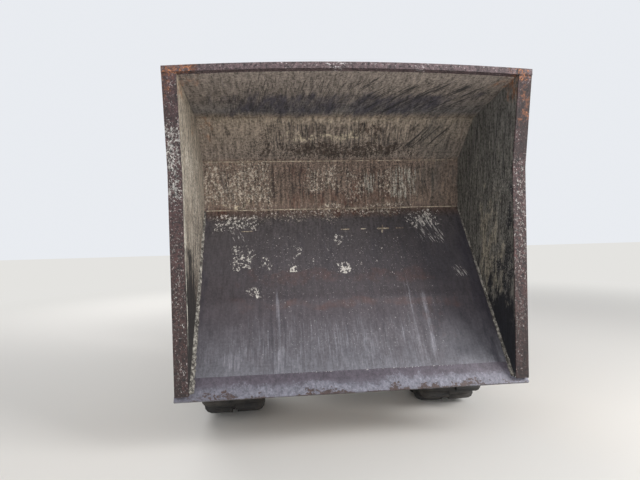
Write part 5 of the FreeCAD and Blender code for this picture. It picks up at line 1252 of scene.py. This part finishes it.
def chequer_bar(middle, turn):
    """Raised bar with sloping sides, 30 mm long and 1.8 mm high."""
    bar = block((-0.015, -0.0035, -0.001), (0.015, 0.0035, 0.0018))
    for vertex in bar.data.vertices:
        if vertex.co.z > 0:
            vertex.co.x *= 0.8
            vertex.co.y *= 0.5
    bar.data.transform(Matrix.Translation(middle) @ Matrix.Rotation(turn, 4, "Z"))
    return bar


deck_low, deck_high = Vector((-0.585, 0.125, 0)), Vector((0.585, 1.12, 0))
start = Vector((deck_low.x, deck_low.y, deck_top))
cell = joined([chequer_bar(start, math.radians(45)),
               chequer_bar(start + Vector((BAR_PITCH / 2, BAR_PITCH / 2, 0)), math.radians(-45))])
for axis, room in ((0, deck_high.x - deck_low.x), (1, deck_high.y - deck_low.y)):
    row = only(cell).modifiers.new("row", "ARRAY")
    row.use_relative_offset = False
    row.use_constant_offset = True
    row.constant_offset_displace = [BAR_PITCH if i == axis else 0.0 for i in range(3)]
    row.count = int(room / BAR_PITCH)
    bpy.ops.object.modifier_apply(modifier="row")
KEPT_CLEAR = [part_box("console"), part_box("seat_base"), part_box("controls"),
              (Vector((0.48, 1.03, 0)), Vector((0.62, 1.14, 0))), (Vector((-0.62, 1.03, 0)), Vector((-0.48, 1.14, 0)))]
shape = bmesh.new()
shape.from_mesh(cell.data)
bars_found = set()
for vertex in list(shape.verts):
    x, y = vertex.co.x, vertex.co.y
    if any(low.x - 0.02 < x < high.x + 0.02 and low.y - 0.02 < y < high.y + 0.02 for low, high in KEPT_CLEAR):
        bars_found.add(vertex)
gone, edge_of = set(bars_found), list(bars_found)
while edge_of:
    for edge in edge_of.pop().link_edges:
        for vertex in edge.verts:
            if vertex not in gone:
                gone.add(vertex)
                edge_of.append(vertex)
bmesh.ops.delete(shape, geom=list(gone), context="VERTS")
shape.to_mesh(cell.data)
shape.free()
placed(cell, "deck_chequer_bars", "rear_chassis", grey_enamel)

TREADS = ((0.655, 0.815, 0.42), (0.635, 0.735, 0.62))
collars = []
for x0, x1, z in TREADS:
    for i in range(3):
        for j in range(6):
            spot = (x0 + (x1 - x0) * (0.18 + 0.32 * i), 0.345 + 0.047 * j, z)
            collars.append(ring(0.009, 0.0022, spot, (0, 0, 1), 14, 6))
placed(both(collars), "step_grip_collars", "rear_chassis", grey_enamel)

# %% [markdown]
# The headlamps sit on the fronts of the mudguards. Each has a rubber bezel, a glass with flutes, and a
# wire guard, because stones fall from the skip. The tail lamps are two moulded lenses side by side.

# %% Lamps
lamp_low, lamp_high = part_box("lamps")
LAMP_X, LAMP_Z, LAMP_R = 0.9, 1.0, 0.070


def fluted_glass():
    """Domed glass whose upright flutes are ridges of the surface."""
    bpy.ops.object.select_all(action="DESELECT")
    bpy.ops.mesh.primitive_uv_sphere_add(segments=64, ring_count=32, radius=1.0)
    glass = bpy.context.object
    bpy.ops.object.mode_set(mode="EDIT")
    bpy.ops.mesh.select_all(action="SELECT")
    bpy.ops.mesh.bisect(plane_co=(0, 0, 0), plane_no=(0, 1, 0), clear_outer=True, use_fill=True)
    bpy.ops.object.mode_set(mode="OBJECT")
    for vertex in glass.data.vertices:
        x, y, z = vertex.co
        flute = 0.0012 * math.sin(x * 34) * max(0.0, -y)
        vertex.co = (LAMP_X + x * LAMP_R, lamp_low.y + y * 0.016 + flute, LAMP_Z + z * LAMP_R)
    return glass


placed(both([fluted_glass()]), "headlamp_glasses", "rear_chassis", lamp_plastic)
bezels = [ring(LAMP_R + 0.004, 0.006, (LAMP_X, lamp_low.y + 0.002, LAMP_Z), (0, 1, 0))]
placed(both(bezels), "headlamp_bezels", "rear_chassis", black_plastic)
guard_y = lamp_low.y - 0.034
guards = [ring(LAMP_R, 0.0032, (LAMP_X, guard_y, LAMP_Z), (0, 1, 0))]
for x in (-0.042, 0.0, 0.042):
    reach = math.sqrt(LAMP_R ** 2 - x ** 2)
    guards.append(round_bar(0.0028, (LAMP_X + x, guard_y, LAMP_Z - reach), (LAMP_X + x, guard_y, LAMP_Z + reach), 10))
for turn in range(4):
    angle = math.radians(45 + 90 * turn)
    spot = Vector((LAMP_X + math.cos(angle) * LAMP_R, guard_y, LAMP_Z + math.sin(angle) * LAMP_R))
    guards.append(round_bar(0.0030, spot, spot + Vector((0, 0.060, 0)), 10))
placed(both(guards), "headlamp_guards", "rear_chassis", grey_enamel)
for name, x0, x1, finish in (("tail_lamp_red_lenses", 0.955, 1.044, moulded_red),
                             ("tail_lamp_amber_lenses", 0.856, 0.945, moulded_amber)):
    lens = bevelled(block((x0, lamp_high.y - 0.002, 0.991), (x1, lamp_high.y + 0.012, 1.059)), 0.006, 3)
    ribs = [bevelled(block((x0 + 0.010, lamp_high.y + 0.010, z), (x1 - 0.010, lamp_high.y + 0.0145, z + 0.004)), 0.0012)
            for z in (1.001, 1.012, 1.023, 1.034, 1.045)]
    placed(both([lens] + ribs), name, "rear_chassis", finish)
dress(black_plastic, "lamps")

beacon_low, beacon_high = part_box("beacon")
beacon_x, beacon_y = (beacon_low.x + beacon_high.x) / 2, (beacon_low.y + beacon_high.y) / 2
ribs = [ring(0.0435 - 0.0022 * i, 0.0018, (beacon_x, beacon_y, beacon_low.z + 0.032 + 0.022 * i), (0, 0, 1), 40, 6)
        for i in range(4)]
placed(joined(ribs), "beacon_dome_ribs", "rops_hoop", amber_plastic)
foot = bevelled(round_bar(0.052, (beacon_x, beacon_y, beacon_low.z), (beacon_x, beacon_y, beacon_low.z + 0.016), 40),
                0.004)
screws = [bolt((beacon_x + 0.046 * math.cos(a), beacon_y + 0.046 * math.sin(a), beacon_low.z + 0.015), (0, 0, 1), 0.008)
          for a in (0.4, 2.5, 4.6)]
placed(joined([foot] + screws), "beacon_foot_ring", "rops_hoop", black_plastic)

# %% [markdown]
# The instrument panel leans towards the driver behind the steering column. Its dials have only plain marks
# and a needle. Beside them are warning lamps, rocker switches and the key, and each lever stands in a boot
# of folded rubber. Everything is placed by how far across and how far up the slope it is.

# %% Instrument panel
SLOPE_FOOT, SLOPE_TOP = Vector((0, 0.3075, 1.190)), Vector((0, 0.1825, 1.310))
SLOPE = (SLOPE_TOP - SLOPE_FOOT).normalized()
FACING = Vector((0, -SLOPE.z, SLOPE.y)) * -1


def on_panel(x, up, out=0.0):
    return SLOPE_FOOT + SLOPE * up + FACING * out + Vector((x, 0, 0))


dark, marks, lights = [], [], []
for x, up in ((-0.165, 0.088), (-0.095, 0.088)):
    dark.append(ring(0.029, 0.0035, on_panel(x, up, 0.002), FACING))
    dark.append(round_bar(0.029, on_panel(x, up, -0.001), on_panel(x, up, 0.0015), 36))
    for step in range(9):
        angle = math.radians(-120 + 30 * step)
        across, rise = math.sin(angle), math.cos(angle)
        marks.append(round_bar(0.0010, on_panel(x + across * 0.019, up + rise * 0.019, 0.0022),
                               on_panel(x + across * 0.025, up + rise * 0.025, 0.0022), 6))
    lights.append(round_bar(0.0012, on_panel(x, up, 0.0035), on_panel(x - 0.013, up + 0.013, 0.0035), 6))
for i in range(5):
    lights.append(round_bar(0.0065, on_panel(-0.195 + 0.027 * i, 0.030, -0.001), on_panel(-0.195 + 0.027 * i, 0.030, 0.004),
                            18, 0.005))
for x in (0.085, 0.115):
    dark.append(bevelled(block((-0.010, -0.018, -0.002), (0.010, 0.018, 0.007)), 0.003))
    tilt = Matrix((Vector((1, 0, 0)), SLOPE, FACING)).transposed().to_4x4()
    dark[-1].data.transform(Matrix.Translation(on_panel(x, 0.115)) @ tilt)
lights.append(round_bar(0.013, on_panel(0.100, 0.060, -0.001), on_panel(0.100, 0.060, 0.007), 24, 0.011))
lights.append(round_bar(0.0045, on_panel(0.100, 0.060, 0.006), on_panel(0.100, 0.060, 0.030), 8))
placed(joined(dark), "panel_dials_and_switches", "rear_chassis", black_plastic)
placed(joined(marks), "panel_dial_marks", "rear_chassis", dial_paint)
placed(joined(lights), "panel_lamps_and_key", "rear_chassis", moulded_red)
boots = []
for x in (0.15, 0.20):
    for fold in range(5):
        boots.append(ring(0.021 - 0.0028 * fold, 0.0045, on_panel(x, 0.075, 0.004 + 0.0075 * fold), FACING, 28, 8))
placed(joined(boots), "lever_boots", "rear_chassis", rubber)

# %% [markdown]
# The last fittings are caps, ports, latches and pins. The tanks have ribbed filler caps, the rams have their
# oil ports, the silencer has a guard of bars, and a red bar for locking the joint hangs on the front rail.

# %% Caps, ports, guard, latches and pins
CAP_PLACE, CAP_AXIS = Vector((0.608, 0.4525, 0.528)), Vector((0.866, 0, 0.5))
caps = [bevelled(round_bar(0.035, CAP_PLACE, CAP_PLACE + CAP_AXIS * 0.022, 36), 0.004)]
side_axis = Vector((0, 1, 0))
up_axis = CAP_AXIS.cross(side_axis)
for rib in range(14):
    angle = rib * math.tau / 14
    spot = CAP_PLACE + (side_axis * math.cos(angle) + up_axis * math.sin(angle)) * 0.035
    caps.append(round_bar(0.0032, spot + CAP_AXIS * 0.003, spot + CAP_AXIS * 0.019, 8))
placed(both(caps), "tank_filler_caps", "rear_chassis", black_plastic)

RAM_FOOT, RAM_HEAD, RAM_PLACE = Vector((0, -0.4675, 0.580)), Vector((0, -1.2832, 1.3852)), 0.170
ram_line = (RAM_HEAD - RAM_FOOT).normalized()
ports = []
for along in (0.115, 0.42):
    spot = RAM_FOOT + ram_line * along + Vector((RAM_PLACE - 0.050, 0, 0))
    ports.append(round_bar(0.017, spot, spot - Vector((0.018, 0, 0)), 20))
    ports.append(bevelled(round_bar(0.013, spot - Vector((0.016, 0, 0)), spot - Vector((0.032, 0, 0)), 6), 0.0015))
left_ports = joined(ports)
right_ports = mirror_copy(left_ports)
placed(left_ports, "tip_ram_ports_left", "tip_ram_barrel_left", grey_enamel)
placed(right_ports, "tip_ram_ports_right", "tip_ram_barrel_right", grey_enamel)

stack_low, stack_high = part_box("exhaust")
stack_x, stack_y = (stack_low.x + stack_high.x) / 2, (stack_low.y + stack_high.y) / 2
guard = [ring(0.0545, 0.0025, (stack_x, stack_y, z), (0, 0, 1), 40, 6) for z in (0.96, 1.115, 1.27)]
for slat in range(16):
    angle = (slat + 0.5) * math.tau / 16
    x, y = stack_x + 0.0545 * math.cos(angle), stack_y + 0.0545 * math.sin(angle)
    guard.append(round_bar(0.0022, (x, y, 0.945), (x, y, 1.285), 8))
placed(joined(guard), "silencer_guard", "rear_chassis", zinc)

bonnet_low, bonnet_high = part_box("engine_bonnet")
latch_y, latch_z, wall = bonnet_low.y + 0.075, bonnet_low.z + 0.055, 0.470
latches = [bevelled(block((wall - 0.001, latch_y - 0.016, latch_z), (wall + 0.008, latch_y + 0.016, latch_z + 0.060)), 0.004),
           round_bar(0.006, (wall + 0.010, latch_y - 0.026, latch_z + 0.052), (wall + 0.010, latch_y + 0.026, latch_z + 0.052),
                     12)]
placed(both(latches), "bonnet_latches", "engine_bonnet", black_plastic)
handle_y = bonnet_low.y - 0.024
handle = [round_bar(0.007, (-0.07, handle_y, 1.33), (0.07, handle_y, 1.33), 14)]
for x in (-0.07, 0.07):
    handle.append(round_bar(0.007, (x, handle_y, 1.33), (x, bonnet_low.y + 0.004, 1.33), 14))
    handle.append(bevelled(round_bar(0.014, (x, bonnet_low.y + 0.002, 1.33), (x, bonnet_low.y - 0.004, 1.33), 20), 0.001))
placed(joined(handle), "bonnet_handle", "engine_bonnet", black_plastic)

pin_y = 2.2825
pin = [bevelled(round_bar(0.014, (0, pin_y, 0.560), (0, pin_y, 0.722), 24), 0.002),
       bevelled(round_bar(0.024, (0, pin_y, 0.700), (0, pin_y, 0.708), 24), 0.002),
       ring(0.024, 0.004, (0, pin_y, 0.744), (1, 0, 0), 28, 8)]
placed(joined(pin), "towing_pin", "rear_chassis", zinc)

rail_side = 0.460
lock = [bevelled(block((rail_side + 0.002, -0.98, 0.735), (rail_side + 0.014, -0.42, 0.785)), 0.003)]
for y in (-0.95, -0.45):
    lock.append(bolt((rail_side + 0.014, y, 0.760), (1, 0, 0), 0.022))
placed(joined(lock), "joint_lock_bar", "front_chassis", red_paint)

rail_low, rail_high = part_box("handrails")
rail_x, plate_z = 0.660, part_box("mudguards")[1].z
feet = []
for y in (rail_low.y + 0.016, rail_high.y - 0.016):
    feet.append(bevelled(round_bar(0.036, (rail_x, y, plate_z - 0.001), (rail_x, y, plate_z + 0.005), 32), 0.001))
    feet += [bolt((rail_x + 0.026 * math.cos(a), y + 0.026 * math.sin(a), plate_z + 0.004), (0, 0, 1), 0.010)
             for a in (0.5, 2.6, 4.7)]
placed(both(feet), "grab_rail_feet", "rear_chassis", grey_enamel)

wheel_low, wheel_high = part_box("steering_wheel")
wheel_axis = Vector((0, 0.5, 0.866))
wheel_middle = Vector((0, 0.4136, 1.4591))
wheel_up = wheel_axis.cross(Vector((1, 0, 0)))
spot = wheel_middle + Vector((1, 0, 0)) * 0.19 * math.cos(0.9) + wheel_up * 0.19 * math.sin(0.9)
knob = [round_bar(0.008, spot, spot + wheel_axis * 0.030, 14),
        bevelled(round_bar(0.017, spot + wheel_axis * 0.026, spot + wheel_axis * 0.058, 28, 0.021), 0.006, 3)]
cap = bevelled(round_bar(0.036, wheel_middle + wheel_axis * 0.008, wheel_middle + wheel_axis * 0.018, 32, 0.030), 0.003)
placed(joined(knob + [cap]), "steering_knob_and_cap", "steering_wheel", black_plastic)
